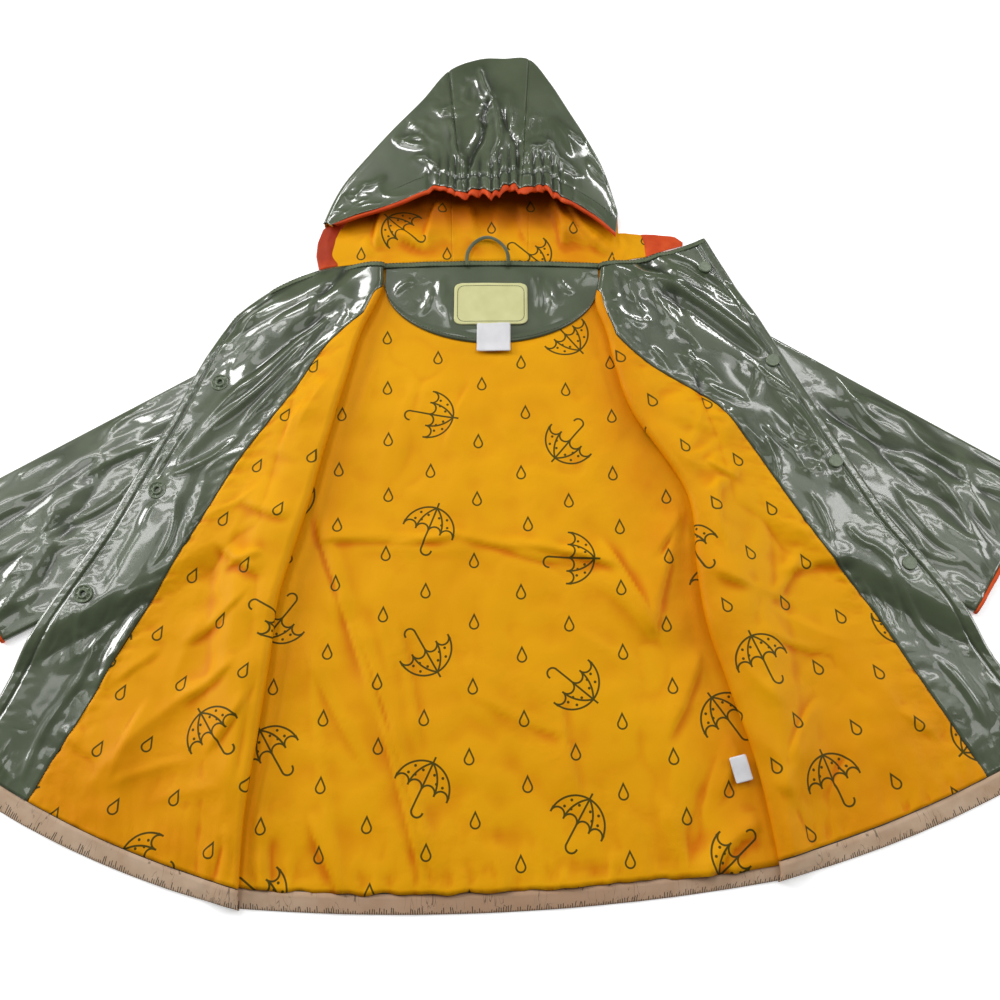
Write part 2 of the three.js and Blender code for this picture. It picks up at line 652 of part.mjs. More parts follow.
function loopPoint(turn, across, height) {
  const angle = degToRad(turn);
  const reach = new THREE.Vector2(LOOP_HALF, LOOP_HEIGHT).addScalar(LOOP_STRAP * (across - 0.5));
  const x = LOOP_X - reach.x * Math.cos(angle);
  return new THREE.Vector3(x, neckY(LOOP_X) - LOOP_ROOT + reach.y * Math.sin(angle), height);
}
const loopTurns = steps(0, 180, 14);
trim("hanger_loop", wall(loopPoint, loopTurns, [0, 1], LOOP_BOTTOM, LOOP_BOTTOM + LOOP_THICK), OLIVE);

// A flat label with rounded corners, laid on what carries it.
function label(name, { x, y, width, height, corner, turn, bottom, thick }, colour) {
  const shape = new THREE.Shape();
  const halfWidth = width / 2 - corner;
  const halfHeight = height / 2 - corner;
  const corners = [
    [halfWidth, halfHeight, 0],
    [-halfWidth, halfHeight, 90],
    [-halfWidth, -halfHeight, 180],
    [halfWidth, -halfHeight, 270],
  ];
  for (const [cornerX, cornerY, from] of corners) {
    shape.absarc(cornerX, cornerY, corner, degToRad(from), degToRad(from + 90));
  }
  const geometry = new THREE.ExtrudeGeometry(shape, { depth: thick, bevelEnabled: false, curveSegments: 3 });
  const mesh = trim(name, geometry, colour);
  mesh.position.set(x, y, bottom);
  mesh.rotation.z = degToRad(turn);
}

const LABEL_BOTTOM = FACING_TOP + GAP;
label(
  "neck_label",
  { x: -8, y: 180, width: 64, height: 41, corner: 6, turn: 0, bottom: LABEL_BOTTOM, thick: WALL },
  PALE_YELLOW,
);
label(
  "size_tag",
  { x: -5.5, y: 146, width: 29, height: 26, corner: 1, turn: 0, bottom: LABEL_BOTTOM, thick: WALL },
  WHITE,
);
label(
  "care_tag",
  { x: 178, y: -213, width: 13, height: 19, corner: 1, turn: 14, bottom: LINING_TOP + GAP, thick: WALL },
  WHITE,
);

// Snap fasteners, seated on the facing's own surface.
const CAP_RADIUS = 5.6;
const CAP_HEIGHT = 1.8;
const RING_RADIUS = 7;
const RING_HOLE = 2.2;
const RING_HEIGHT = 2.4;

function profile(points) {
  return new THREE.LatheGeometry(points.map(([radius, height]) => new THREE.Vector2(radius, height)), 14);
}

const capShape = () =>
  profile([
    [0, 0],
    [CAP_RADIUS, 0],
    [CAP_RADIUS, CAP_HEIGHT * 0.6],
    [CAP_RADIUS - 0.8, CAP_HEIGHT],
    [0, CAP_HEIGHT],
  ]);

const ringShape = () =>
  profile([
    [RING_HOLE, 0],
    [RING_RADIUS, 0],
    [RING_RADIUS, 0.8],
    [RING_RADIUS - 1.6, 1.2],
    [RING_HOLE + 1.4, RING_HEIGHT],
    [RING_HOLE, RING_HEIGHT],
    [RING_HOLE, 0],
  ]);

// The highest place of a piece over a point in plan.
const plumb = new THREE.Raycaster();
const ABOVE = 100;

function surfaceAt(mesh, x, y) {
  plumb.set(new THREE.Vector3(x, y, ABOVE), new THREE.Vector3(0, 0, -1));
  return plumb.intersectObject(mesh)[0].point;
}

// Seats a snap level with the facing around it and clear of the highest point there.
function snap(name, facing, shape, radius, { x, y }) {
  const here = surfaceAt(facing, x, y);
  const ring = (reach) =>
    steps(0, 337.5, 15).map((turn) => {
      const angle = degToRad(turn);
      return surfaceAt(facing, x + reach * Math.cos(angle), y + reach * Math.sin(angle));
    });
  const rim = ring(radius);
  const normal = new THREE.Vector3();
  rim.forEach((from, i) => {
    const to = rim[(i + 1) % rim.length];
    normal.add(from.clone().sub(here).cross(to.clone().sub(here)));
  });
  normal.normalize();
  const around = [...rim, ...ring(radius * 0.7), ...ring(radius * 0.35), here];
  const lift = Math.max(...around.map((other) => other.clone().sub(here).dot(normal)));
  const mesh = piece(name, shape().rotateX(Math.PI / 2), OLIVE, 0.35);
  mesh.quaternion.setFromUnitVectors(new THREE.Vector3(0, 0, 1), normal);
  mesh.position.copy(here).addScaledVector(normal, GAP + lift);
}

const CAPS = table(["x", "y"], [
  [181, 217],
  [231, 122],
  [274, 30],
  [323, -56],
]);
const SOCKETS = table(["x", "y"], [
  [-235, 101],
  [-277, 5],
  [-325, -81],
]);
CAPS.forEach((place, i) => snap(`snap_cap_${i + 1}`, facings.left, capShape, CAP_RADIUS, place));
SOCKETS.forEach((place, i) => snap(`snap_socket_${i + 1}`, facings.right, ringShape, RING_RADIUS, place));

export default coat;
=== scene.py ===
# A child's hooded raincoat, laid open on its back with both fronts turned out over the sleeves.
# The sizes here are millimetres, measured as the coat lies from a point on the lining below the
# chest: +X is the wearer's left, +Y runs to the hood and +Z is up. Right and left are the wearer's.
import math
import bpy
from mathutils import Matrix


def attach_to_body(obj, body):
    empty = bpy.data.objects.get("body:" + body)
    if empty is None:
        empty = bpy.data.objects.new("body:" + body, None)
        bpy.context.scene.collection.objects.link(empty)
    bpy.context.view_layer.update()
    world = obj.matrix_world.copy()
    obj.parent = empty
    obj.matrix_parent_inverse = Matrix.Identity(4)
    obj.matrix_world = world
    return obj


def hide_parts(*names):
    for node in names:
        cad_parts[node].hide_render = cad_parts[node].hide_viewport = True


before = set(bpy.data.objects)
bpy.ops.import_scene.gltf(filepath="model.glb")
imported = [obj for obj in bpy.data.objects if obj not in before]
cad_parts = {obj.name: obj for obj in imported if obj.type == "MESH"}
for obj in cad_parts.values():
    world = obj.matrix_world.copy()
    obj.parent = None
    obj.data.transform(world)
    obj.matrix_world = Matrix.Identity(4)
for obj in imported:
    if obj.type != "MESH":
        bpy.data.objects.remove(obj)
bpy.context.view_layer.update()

from types import SimpleNamespace

import bmesh
import bpy
import numpy as np
from mathutils import Vector, noise

# The table that the coat lies on, pale and plain, with soft studio light over it. The camera looks
# down from the hem side, leaning 19.5 degrees from straight above, 82 cm from the cloth.
MM = 0.001
DATUM = np.array([7.0, -68.0, 0.0])
CAMERA_DISTANCE = 818
CAMERA_LEAN = math.radians(19.5)
CAMERA_LENS = 36.1
TABLE_SIZE = 6000


def to_frame(places):
    """Places on the coat, in millimetres, as metres in the frame."""
    return (np.asarray(places, float) + DATUM) * MM


camera = bpy.data.objects.new("camera", bpy.data.cameras.new("camera"))
camera.data.lens = CAMERA_LENS
camera.location = to_frame(
    [0, -CAMERA_DISTANCE * math.sin(CAMERA_LEAN), CAMERA_DISTANCE * math.cos(CAMERA_LEAN)]
)
camera.rotation_euler = (CAMERA_LEAN, 0, 0)
bpy.context.scene.collection.objects.link(camera)
bpy.context.scene.camera = camera
bpy.context.scene.view_settings.view_transform = "Standard"

table_mesh = bpy.data.meshes.new("table")
half = TABLE_SIZE * MM / 2
table_corners = [(-half, -half, 0), (half, -half, 0), (half, half, 0), (-half, half, 0)]
table_mesh.from_pydata(table_corners, [], [(0, 1, 2, 3)])
table = bpy.data.objects.new("table", table_mesh)
bpy.context.scene.collection.objects.link(table)
white = bpy.data.materials.new("white_table")
white.use_nodes = True
paint = white.node_tree.nodes["Principled BSDF"].inputs
paint["Base Color"].default_value = (0.93, 0.93, 0.93, 1)
paint["Roughness"].default_value = 0.9
paint["Emission Color"].default_value = (1, 1, 1, 1)
paint["Emission Strength"].default_value = 0.4
table_mesh.materials.append(white)

world = bpy.data.worlds.new("studio")
world.use_nodes = True
daylight = world.node_tree.nodes["Background"].inputs
daylight["Color"].default_value = (0.96, 0.98, 1.0, 1)
daylight["Strength"].default_value = 0.12
bpy.context.scene.world = world

# Each lamp's name, where it is over the coat, what it points at, its width and height, and watts
LAMPS = [
    ("window", (-820, 1560, 1720), (-60, 60, 0), 520, 340, 10),
    ("window_right", (900, 1700, 1500), (60, 60, 0), 640, 110, 5),
    ("low_window_left", (-2000, 700, 800), (-60, 0, 0), 900, 900, 31),
    ("low_window_right", (2000, 420, 900), (60, 0, 0), 900, 900, 16),
    ("ceiling_left", (-1350, 850, 2300), (-1350, 850, 0), 1300, 1100, 5.0),
    ("strip_left_1", (-1250, 620, 2200), (-1250, 620, 0), 700, 130, 2.0),
    ("strip_left_2", (-1400, 900, 2200), (-1400, 900, 0), 900, 150, 3.2),
    ("strip_left_3", (-1000, 1180, 2200), (-1000, 1180, 0), 700, 130, 2.4),
    ("ceiling_right", (1350, 800, 2300), (1350, 800, 0), 1300, 1100, 4.8),
    ("strip_right_1", (1250, 560, 2200), (1250, 560, 0), 700, 130, 2.0),
    ("strip_right_2", (1400, 860, 2200), (1400, 860, 0), 900, 150, 3.2),
    ("strip_right_3", (940, 1120, 2200), (940, 1120, 0), 700, 130, 2.2),
    ("ceiling_top_left", (-330, 1250, 2300), (-330, 1250, 0), 520, 320, 1.7),
    ("ceiling_top_right", (520, 1300, 2300), (520, 1300, 0), 520, 300, 1.5),
    ("ceiling_low_left", (-1000, 200, 2300), (-1000, 200, 0), 520, 300, 1.5),
    ("ceiling_middle", (60, 180, 2300), (60, 180, 0), 520, 520, 1.6),
    ("ceiling_low_right", (1050, 60, 2300), (1050, 60, 0), 520, 300, 1.5),
]
for name, place, aim, width, height, watts in LAMPS:
    lamp = bpy.data.objects.new(name, bpy.data.lights.new(name, "AREA"))
    lamp.data.shape = "RECTANGLE"
    lamp.data.size = width * MM
    lamp.data.size_y = height * MM
    lamp.data.energy = watts
    lamp.location = to_frame(place)
    facing = Vector(to_frame(aim)) - lamp.location
    lamp.rotation_euler = facing.to_track_quat("-Z", "Y").to_euler()
    bpy.context.scene.collection.objects.link(lamp)


# The back's outer cloth: olive polyester with a wet-look coating, cut in one piece from shoulder to
# hem. It is the lowest layer and lies flat on the table, coated side down.
class Amount:
    """A number that a finish works out at each place, from nodes, written as an ordinary sum."""

    def __init__(self, finish, socket):
        self.finish = finish
        self.socket = socket

    def sum(self, operation, *others, clamp=False):
        made = self.finish.node("ShaderNodeMath", operation=operation, use_clamp=clamp)
        for slot, value in zip(made.inputs, (self, *others)):
            self.finish.feed(slot, value)
        return Amount(self.finish, made.outputs[0])

    def __add__(self, other):
        return self.sum("ADD", other)

    def __sub__(self, other):
        return self.sum("SUBTRACT", other)

    def __mul__(self, other):
        return self.sum("MULTIPLY", other)

    def __mod__(self, other):
        return self.sum("FLOORED_MODULO", other)

    def __abs__(self):
        return self.sum("ABSOLUTE")

    def __neg__(self):
        return self.sum("MULTIPLY", -1)

    def floor(self):
        return self.sum("FLOOR")

    def least(self, *others):
        found = self
        for other in others:
            found = found.sum("MINIMUM", other)
        return found

    def most(self, *others):
        found = self
        for other in others:
            found = found.sum("MAXIMUM", other)
        return found

    def share(self, low, high):
        """From 0 where the amount is low to 1 where it is high."""
        return (self - low).sum("MULTIPLY", 1 / (high - low), clamp=True)


def far(x, y):
    return (x * x + y * y).sum("SQRT")


class Finish:
    """A cloth's or a fitting's material, built from nodes. Lengths in its nodes are millimetres."""

    def __init__(self, name, sockets):
        self.material = bpy.data.materials.new(name)
        self.material.use_nodes = True
        self.tree = self.material.node_tree
        self.shader = self.tree.nodes["Principled BSDF"]
        for key, value in sockets.items():
            self.shader.inputs[key].default_value = value

    def node(self, kind, inputs=None, **settings):
        made = self.tree.nodes.new(kind)
        for key, value in settings.items():
            setattr(made, key, value)
        for key, value in (inputs or {}).items():
            self.feed(made.inputs[key], value)
        return made

    def feed(self, slot, value):
        if isinstance(value, Amount):
            value = value.socket
        if isinstance(value, bpy.types.NodeSocket):
            self.tree.links.new(value, slot)
        else:
            slot.default_value = value

    def place(self):
        """Where a point is on the coat, in millimetres."""
        found = self.node("ShaderNodeTexCoord").outputs["Object"]
        scaled = self.node("ShaderNodeVectorMath", {0: found}, operation="SCALE")
        scaled.inputs["Scale"].default_value = 1 / MM
        return scaled.outputs[0]

    def spot(self):
        """How far across the coat and up it a point is, in millimetres."""
        parts = self.node("ShaderNodeSeparateXYZ", {0: self.place()})
        return tuple(Amount(self, parts.outputs[i]) - float(DATUM[i]) for i in (0, 1))

    def grain(self):
        """Where a point is on the flat cut cloth, across and along its grain, in millimetres."""
        found = self.node("ShaderNodeUVMap", uv_map="cloth").outputs[0]
        parts = self.node("ShaderNodeSeparateXYZ", {0: found})
        across, along = (Amount(self, parts.outputs[i]) * (1 / MM) for i in (0, 1))
        return across, along

    def point(self, x, y):
        return self.node("ShaderNodeCombineXYZ", {0: x, 1: y}).outputs[0]

    def cloudy(self, place, size, detail=2.0, rough=0.5):
        sockets = {"Vector": place, "Scale": 1 / size, "Detail": detail, "Roughness": rough}
        return Amount(self, self.node("ShaderNodeTexNoise", sockets).outputs["Fac"])

    def hollow(self):
        """How deep a point lies between its neighbours, from 0 to 1, as its sheet carries it. It is the
        mask for painted shade in the hollows.
        """
        found = self.node("ShaderNodeAttribute", attribute_name="hollow").outputs["Fac"]
        return Amount(self, found)

    def chance(self, place):
        return Amount(self, self.node("ShaderNodeTexWhiteNoise", {"Vector": place}).outputs["Value"])

    def between(self, share, first, second):
        mix = self.node("ShaderNodeMix", data_type="RGBA")
        for slot, value in ((0, share), (6, first), (7, second)):
            self.feed(mix.inputs[slot], (*value, 1) if isinstance(value, tuple) else value)
        return mix.outputs[2]

    def colour(self, value):
        self.feed(self.shader.inputs["Base Color"], value)

    def relief(self, height, depth, coat=False):
        bump = self.node("ShaderNodeBump", {"Height": height, "Distance": depth * MM})
        self.feed(self.shader.inputs["Normal"], bump.outputs[0])
        if coat:
            self.feed(self.shader.inputs["Coat Normal"], bump.outputs[0])


def coated_cloth():
    """Wet-look coating: a clear glossy film over olive cloth, with fine hard crinkles and shade painted
    into its hollows.
    """
    gloss = {"Specular IOR Level": 0.5, "Coat Weight": 1.0, "Coat Roughness": 0.075, "Coat IOR": 1.55}
    finish = Finish("olive_coated_cloth", gloss)
    place = finish.place()
    patches = finish.cloudy(place, 46, 3)
    olive = finish.between(patches.share(0.3, 0.7), (0.054, 0.072, 0.034), (0.084, 0.107, 0.055))
    # Painted shade: the olive is darkened nearly to black in the cloth's hollows, where shade falls
    # between folds.
    finish.colour(finish.between(finish.hollow() * 0.8, olive, (0.012, 0.017, 0.007)))
    finish.feed(finish.shader.inputs["Roughness"], patches * 0.2 + 0.24)
    wide = abs(finish.cloudy(place, 19, 1, 0.4) - 0.5).share(0.0, 0.12)
    small = abs(finish.cloudy(place, 6.5, 1, 0.45) - 0.5).share(0.0, 0.14)
    where = finish.cloudy(place, 52, 1).share(0.5, 0.66)
    pebbles = finish.cloudy(place, 1.1, 1)
    crinkles = wide * 0.2 * (where + 0.15) + small * where * 0.03 + pebbles * 0.006
    finish.relief(crinkles, 0.5, coat=True)
    return finish


COATED = coated_cloth()


def mesh_of(name, vertices, faces, finish, uv=None, hollow=None, merge=False):
    """A smooth mesh from places in millimetres. uv holds each vertex's place on the flat cloth."""
    mesh = bpy.data.meshes.new(name)
    mesh.from_pydata(to_frame(vertices).tolist(), [], faces)
    if uv is not None:
        layer = mesh.uv_layers.new(name="cloth")
        corners = np.empty(len(mesh.loops), int)
        mesh.loops.foreach_get("vertex_index", corners)
        layer.data.foreach_set("uv", (np.asarray(uv)[corners] * MM).astype(np.float32).ravel())
    if hollow is not None:
        layer = mesh.attributes.new("hollow", "FLOAT", "POINT")
        layer.data.foreach_set("value", np.asarray(hollow, np.float32))
    if merge:
        shape = bmesh.new()
        shape.from_mesh(mesh)
        bmesh.ops.remove_doubles(shape, verts=shape.verts, dist=0.01 * MM)
        shape.to_mesh(mesh)
        shape.free()
    mesh.polygons.foreach_set("use_smooth", [True] * len(mesh.polygons))
    mesh.materials.append(finish.material)
    made = bpy.data.objects.new(name, mesh)
    bpy.context.scene.collection.objects.link(made)
    return made


def grid_faces(rows, columns, flip):
    first = np.arange(rows - 1)[:, None] * columns + np.arange(columns - 1)[None, :]
    quads = np.stack([first, first + 1, first + columns + 1, first + columns], axis=-1)
    quads = quads.reshape(-1, 4)
    return (quads[:, ::-1] if flip else quads).tolist()


def hollows(places, reach=3):
    """How deep each place of a grid lies below the mean height around it, from 0 to 1 at 0.9 mm. The
    finishes use it as a mask for painted shade.
    """
    around = np.pad(places[..., 2], reach, mode="edge")
    mean = np.ones(2 * reach + 1) / (2 * reach + 1)
    for axis in (0, 1):
        around = np.apply_along_axis(np.convolve, axis, around, mean, "valid")
    return np.clip((around - places[..., 2]) / 0.9, 0, 1)


def sheet_of(name, places, grain, finish, thick=0.45, face=(0, 0, 1), merge=False):
    """A thin sheet through a grid of places. Its right side faces the way that face says."""
    rows, columns = places.shape[:2]
    first = places[rows // 2, columns // 2]
    right = places[rows // 2, columns // 2 + 1] - first
    down = places[rows // 2 + 1, columns // 2] - first
    flip = np.dot(np.cross(right, down), face) < 0
    faces = grid_faces(rows, columns, flip)
    vertices = places.reshape(-1, 3)
    made = mesh_of(name, vertices, faces, finish, grain.reshape(-1, 2), hollows(places).ravel(), merge)
    solid = made.modifiers.new("thickness", "SOLIDIFY")
    solid.thickness = thick * MM
    solid.offset = -1
    return made


def cut_of(places):
    """The size and the area of the flat cut, measured along the cloth, in metres."""
    width = np.linalg.norm(np.diff(places, axis=1), axis=2).sum(axis=1).max()
    length = np.linalg.norm(np.diff(places, axis=0), axis=2).sum(axis=0).max()
    one = places[1:, 1:] - places[:-1, :-1]
    other = places[1:, :-1] - places[:-1, 1:]
    area = np.linalg.norm(np.cross(one, other), axis=2).sum() / 2
    width = min(width, 3 * area / length)
    return (width * MM, length * MM), min(area, width * length) * MM * MM


def attach(piece, slot, *nodes):
    """A piece of the coat, and the solids whose place it takes. slot, what it is made of, is not used."""
    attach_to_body(piece, "root")
    if nodes:
        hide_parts(*nodes)


def table_of(names, rows):
    """A short table's columns by name."""
    return dict(zip(names.split(), np.array(rows, float).T))


def smooth(value, low, high):
    t = np.clip((value - low) / (high - low), 0, 1)
    return t * t * (3 - 2 * t)


def through(table, key, at):
    """A smooth curve through one column of a table, at row numbers that may lie between two rows."""
    values = table[key]
    at = np.asarray(at, float)
    i = np.clip(np.floor(at).astype(int), 0, len(values) - 2)
    t = at - i
    here = values[i]
    ahead = values[i + 1]
    before = np.where(i > 0, values[np.maximum(i - 1, 0)], 2 * here - ahead)
    after = np.where(i + 2 < len(values), values[np.minimum(i + 2, len(values) - 1)], 2 * ahead - here)
    start = (ahead - before) / 2
    end = (after - here) / 2
    rise = ahead - here
    return (((start + end - 2 * rise) * t + 3 * rise - 2 * start - end) * t + start) * t + here


# Both fronts in plan, since the back ends at their side seams. Their rows run from the neck edge, 0,
# to the hem, 13: the fold's inner side, the front edge, the bow to the neck, the side seam's place
# outside the fold, the facing's width, the roll's radius. The cuff has its sleeve's two end corners.
# Folds, creases and pleats run from one place to another, so high or, below 0, so deep, and so wide.
FRONT = "fold_x fold_y edge_x edge_y bow seam facing roll"
SHOULDER = 3
UNDERARM = 7
BAND = 12
HEM = 13
BAND_GAP = 0.012
FOLD = "x y to_x to_y height width"
CREASE = "x y to_x to_y bend height width"
right_front = SimpleNamespace(
    side="right",
    rows=table_of(FRONT, [
        (-102, 219, -228, 169, 17, 5.0, 158, 2.0),
        (-102, 211, -233, 162, 14, 15, 158, 2.2),
        (-102, 199, -240, 150, 8, 38, 158, 2.5),
        (-106, 183, -247, 132, 5, 70, 158, 3.0),
        (-120, 148, -260, 101, 0, 51, 120, 3.5),
        (-129, 109, -273, 68, 0, 39, 105, 4.0),
        (-143, 48, -296, 17, 0, 32, 85, 4.5),
        (-155, -10, -318, -32, 0, 48, 78, 5.0),
        (-172, -80, -347, -84, 0, 31, 75, 5.0),
        (-176, -135, -366, -122, 0, 24, 72, 4.5),
        (-181, -190, -381, -160, -3, 17, 66, 4.0),
        (-186, -245, -394, -186, -7, 10, 63, 3.2),
        (-186, -296, -403, -205, -9, 6.3, 63, 2.2),
        (-185, -309, -409, -218, -10, 5.3, 63, 1.6),
    ]),
    cuff=((-455, -11), (-384, -117)),
    folds=table_of(FOLD, [
        (-150, 60, -215, -120, 2.4, 16),
        (-190, -60, -235, -260, 2.2, 15),
        (-240, 60, -330, -150, 1.6, 12),
        (-205, 120, -275, 20, 2.0, 12),
        (-136, 214, -238, 152, 4.0, 9),
        (-118, 196, -200, 150, 2.2, 10),
        (-270, -150, -300, -270, 1.8, 14),
    ]),
    creases=table_of(CREASE, [
        (-142, 166, -243, 66, 5, 1.9, 2.6),
        (-156, 152, -240, 58, -4, 1.5, 2.2),
        (-128, 186, -221, 95, 3, -1.6, 7),
        (-146, 143, -215, 59, 3, 1.3, 2.4),
        (-217, 51, -271, 18, -5, 1.5, 2.4),
        (-208, 40, -240, 22, 3, 0.9, 2),
        (-277, -4, -286, -28, 2, 0.9, 2),
        (-262, -2, -273, -56, -6, 1.2, 2.2),
        (-251, -20, -249, -46, 2, 0.9, 2),
        (-262, -70, -298, -88, 3, 1.1, 2.2),
        (-273, -85, -303, -155, 5, 1.3, 2.6),
        (-312, -117, -332, -163, -3, 1.2, 2.4),
        (-330, -160, -354, -225, 4, 1.1, 2.6),
        (-183, 186, -226, 153, 3, 1.4, 2.4),
        (-212, 170, -236, 136, -3, 1.2, 2.4),
        (-247, 72, -283, -4, 4, -1.2, 5),
        (-236, -16, -196, 8, 3, 1.2, 3),
        (-158, -30, -174, -112, -4, -1.8, 5),
        (-209, -140, -310, -236, 9, 1.9, 6),
        (-226, -207, -290, -226, 4, 1.5, 4),
        (-320, -150, -298, -220, 5, -1.3, 5),
        (-208, -14, -217, -92, 5, 1.3, 5),
        (-141, 108, -168, 55, 3, 1.1, 4),
        (-194, -50, -192, -124, -4, -1.2, 6),
        (-231, -96, -252, -170, 4, 1.2, 6),
        (-258, -236, -203, -227, -2, 1.0, 4),
        (-188, -252, -196, -292, 1, 1.6, 2.6),
        (-197, -262, -206, -298, 1, -1.2, 2.6),
        (-209, -266, -214, -297, -1, 1.3, 2.4),
        (-176, -196, -196, -238, 2, 1.6, 3.4),
        (-240, 18, -262, -60, -4, 1.0, 4),
        (-160, 30, -200, 44, 2, 0.8, 3),
    ]),
    pleats=table_of(CREASE, [
        (-142, 166, -226, 80, 3, 1.8, 6),
        (-158, 150, -240, 62, -5, 1.3, 5),
        (-277, -88, -306, -150, 4, 1.4, 6),
        (-228, -35, -186, -66, 2, 2.8, 9),
        (-218, -59, -186, -48, -1, 2.4, 7),
        (-244, -163, -202, -132, 3, 2.6, 10),
        (-249, -121, -196, -75, 4, 2.4, 11),
        (-224, -208, -176, -122, 5, 3.0, 13),
        (-196, -230, -189, -158, -2, 2.6, 8),
        (-264, -160, -289, -223, 2, 2.0, 11),
        (-160, 88, -182, 32, 2, 1.6, 10),
        (-212, 0, -160, -20, 3, 2.4, 11),
        (-196, -250, -190, -292, 2, 2.2, 7),
        (-300, -150, -262, -120, 2, 1.8, 9),
        (-330, -182, -300, -205, 2, 1.6, 8),
    ]),
    seed=3.0,
)
left_front = SimpleNamespace(
    side="left",
    rows=table_of(FRONT, [
        (88, 219, 183, 248, -4, 5.0, 130, 2.0),
        (88, 211, 186.5, 241, -4, 17, 130, 2.2),
        (86, 198, 192, 229, -2, 39, 130, 2.5),
        (83, 178, 206, 200, 0, 83, 130, 3.0),
        (92, 148, 222, 165, 0, 69, 126, 3.5),
        (98, 116, 240, 128, 0, 60, 114, 4.0),
        (111, 74, 261, 82, 0, 50, 77, 4.0),
        (151, 4, 304, -4, 0, 50, 71, 4.5),
        (155, -60, 333, -46, 0, 47, 69, 5.0),
        (160, -105, 358, -84, 0, 42, 67, 5.0),
        (172, -148, 377, -123, 0, 31, 64, 4.5),
        (190, -212, 400, -160, -3, 15, 63, 3.5),
        (200, -277, 418, -190, -7, 6.3, 63, 2.2),
        (199, -290, 424, -202, -8, 5.5, 63, 1.6),
    ]),
    cuff=((444, 12), (371, -94)),
    folds=table_of(FOLD, [
        (130, 80, 205, 60, 3.0, 12),
        (165, 0, 200, -150, 2.2, 15),
        (185, -70, 240, -240, 2.4, 16),
        (225, 130, 310, -30, 1.8, 12),
        (100, 190, 185, 215, 2.0, 12),
        (270, -120, 310, -235, 1.8, 14),
    ]),
    creases=table_of(CREASE, [
        (138, 226, 204, 180, -3, 1.2, 2.4),
        (151, 208, 207, 178, 2, -1.0, 4),
        (118, 220, 172, 136, 5, 1.1, 2.6),
        (130, 209, 232, 122, -6, 1.8, 3),
        (122, 200, 224, 116, -4, -1.5, 6),
        (187, 102, 150, 131, 3, 1.2, 2.6),
        (127, 135, 143, 110, -2, 1.1, 2.4),
        (161, 136, 170, 104, 2, 1.2, 2.4),
        (214, 120, 253, 86, 3, 1.2, 2.2),
        (221, 116, 210, 88, -2, 1.1, 2),
        (230, 93, 261, 48, -3, 1.4, 2.2),
        (218, 66, 244, 40, 3, 1.1, 2),
        (237, 40, 262, 46, 1, 0.9, 2),
        (218, 54, 226, 10, -3, 1.3, 2.2),
        (243, 23, 281, 33, 3, 1.1, 2.2),
        (251, 2, 264, -40, -3, 1.2, 2.2),
        (278, -26, 296, -42, 2, 1.0, 2),
        (292, -38, 320, -71, -3, 1.4, 2.4),
        (315, -74, 341, -120, 3, 1.3, 2.4),
        (336, -130, 366, -180, -4, 1.3, 2.6),
        (171, 102, 208, 84, 3, 1.2, 2.6),
        (205, -198, 222, -250, 3, 1.3, 5),
        (234, -184, 201, -227, -4, 1.3, 5),
        (260, -200, 243, -240, 3, -1.3, 6),
        (169, 90, 155, 42, -3, 1.1, 5),
        (193, 17, 163, -4, 3, 1.2, 4),
        (176, 18, 184, -58, 4, 1.4, 5),
        (211, 2, 213, -90, -5, -1.3, 7),
        (152, -50, 236, -86, 5, 1.3, 5),
        (201, -82, 273, -118, 4, 1.1, 5),
        (176, -122, 214, -166, 4, 1.5, 5),
        (229, -114, 282, -166, -5, -1.2, 7),
        (288, -146, 323, -188, 4, 1.0, 5),
        (101, 126, 134, 66, -4, 1.3, 4),
        (115, 52, 182, 22, 5, 1.2, 5),
        (203, -232, 212, -276, 1, 1.5, 3),
        (214, -236, 226, -272, -1, -1.1, 3),
        (180, -176, 206, -206, 2, 1.5, 3.4),
        (150, 30, 190, 60, 3, 1.0, 4),
    ]),
    pleats=table_of(CREASE, [
        (130, 209, 228, 126, -6, 1.6, 7),
        (200, 176, 138, 216, 3, 1.1, 6),
        (283, -84, 250, -34, 3, 1.2, 6),
        (209, -87, 240, -42, 3, 2.4, 10),
        (219, -63, 280, -52, -3, 2.2, 9),
        (157, -83, 169, -122, 1, 2.2, 7),
        (243, -160, 215, -208, 3, 2.8, 12),
        (180, -213, 219, -230, 2, 2.6, 9),
        (167, 33, 194, 17, 2, 2.8, 8),
        (124, 62, 156, 14, -2, 2.2, 9),
        (200, -107, 256, -125, 3, 2.2, 11),
        (176, -40, 178, 16, -4, 1.8, 10),
        (262, -204, 243, -240, 2, 1.8, 9),
        (300, -170, 330, -192, -2, 1.8, 9),
        (150, -52, 196, -74, 3, 2.0, 10),
    ]),
    seed=11.0,
)
FRONTS = (right_front, left_front)

# The cloth's layers over one another, as they lie: one wall, a wall with the gap below it, half of a
# front with its lining, and the heights that they stack up to. A front's roll flattens out over the
# relax length, and cloth comes down to the layer below over the drape length. A sleeve's cuff lies
# a little higher than its armhole.
SEAM_GAP = 0.3
WALL = 1.0
LAYER = 1.3
MIDDLE = 1.15
LINING_TOP = WALL + LAYER
LEG_MIDDLE = LINING_TOP + SEAM_GAP + MIDDLE
LEG_TOP = LEG_MIDDLE + MIDDLE
RELAX = 55
DRAPE = 24
SLEEVE_TOP = LEG_TOP
CUFF_RISE = 1.0


def plan_row(front, at):
    """A row of a front in plan: where it starts, which way it runs and where its seams lie."""
    row = SimpleNamespace(**{key: through(front.rows, key, at) for key in front.rows})
    run_x = row.edge_x - row.fold_x
    run_y = row.edge_y - row.fold_y
    row.length = np.hypot(run_x, run_y)
    row.out_x = run_x / row.length
    row.out_y = run_y / row.length
    turn = np.sign(row.out_x)
    row.up_x = -row.out_y * turn
    row.up_y = row.out_x * turn
    row.centre = row.roll + MIDDLE
    row.facing = np.clip(row.length - row.facing, row.centre + 2, row.length - 20)
    return row


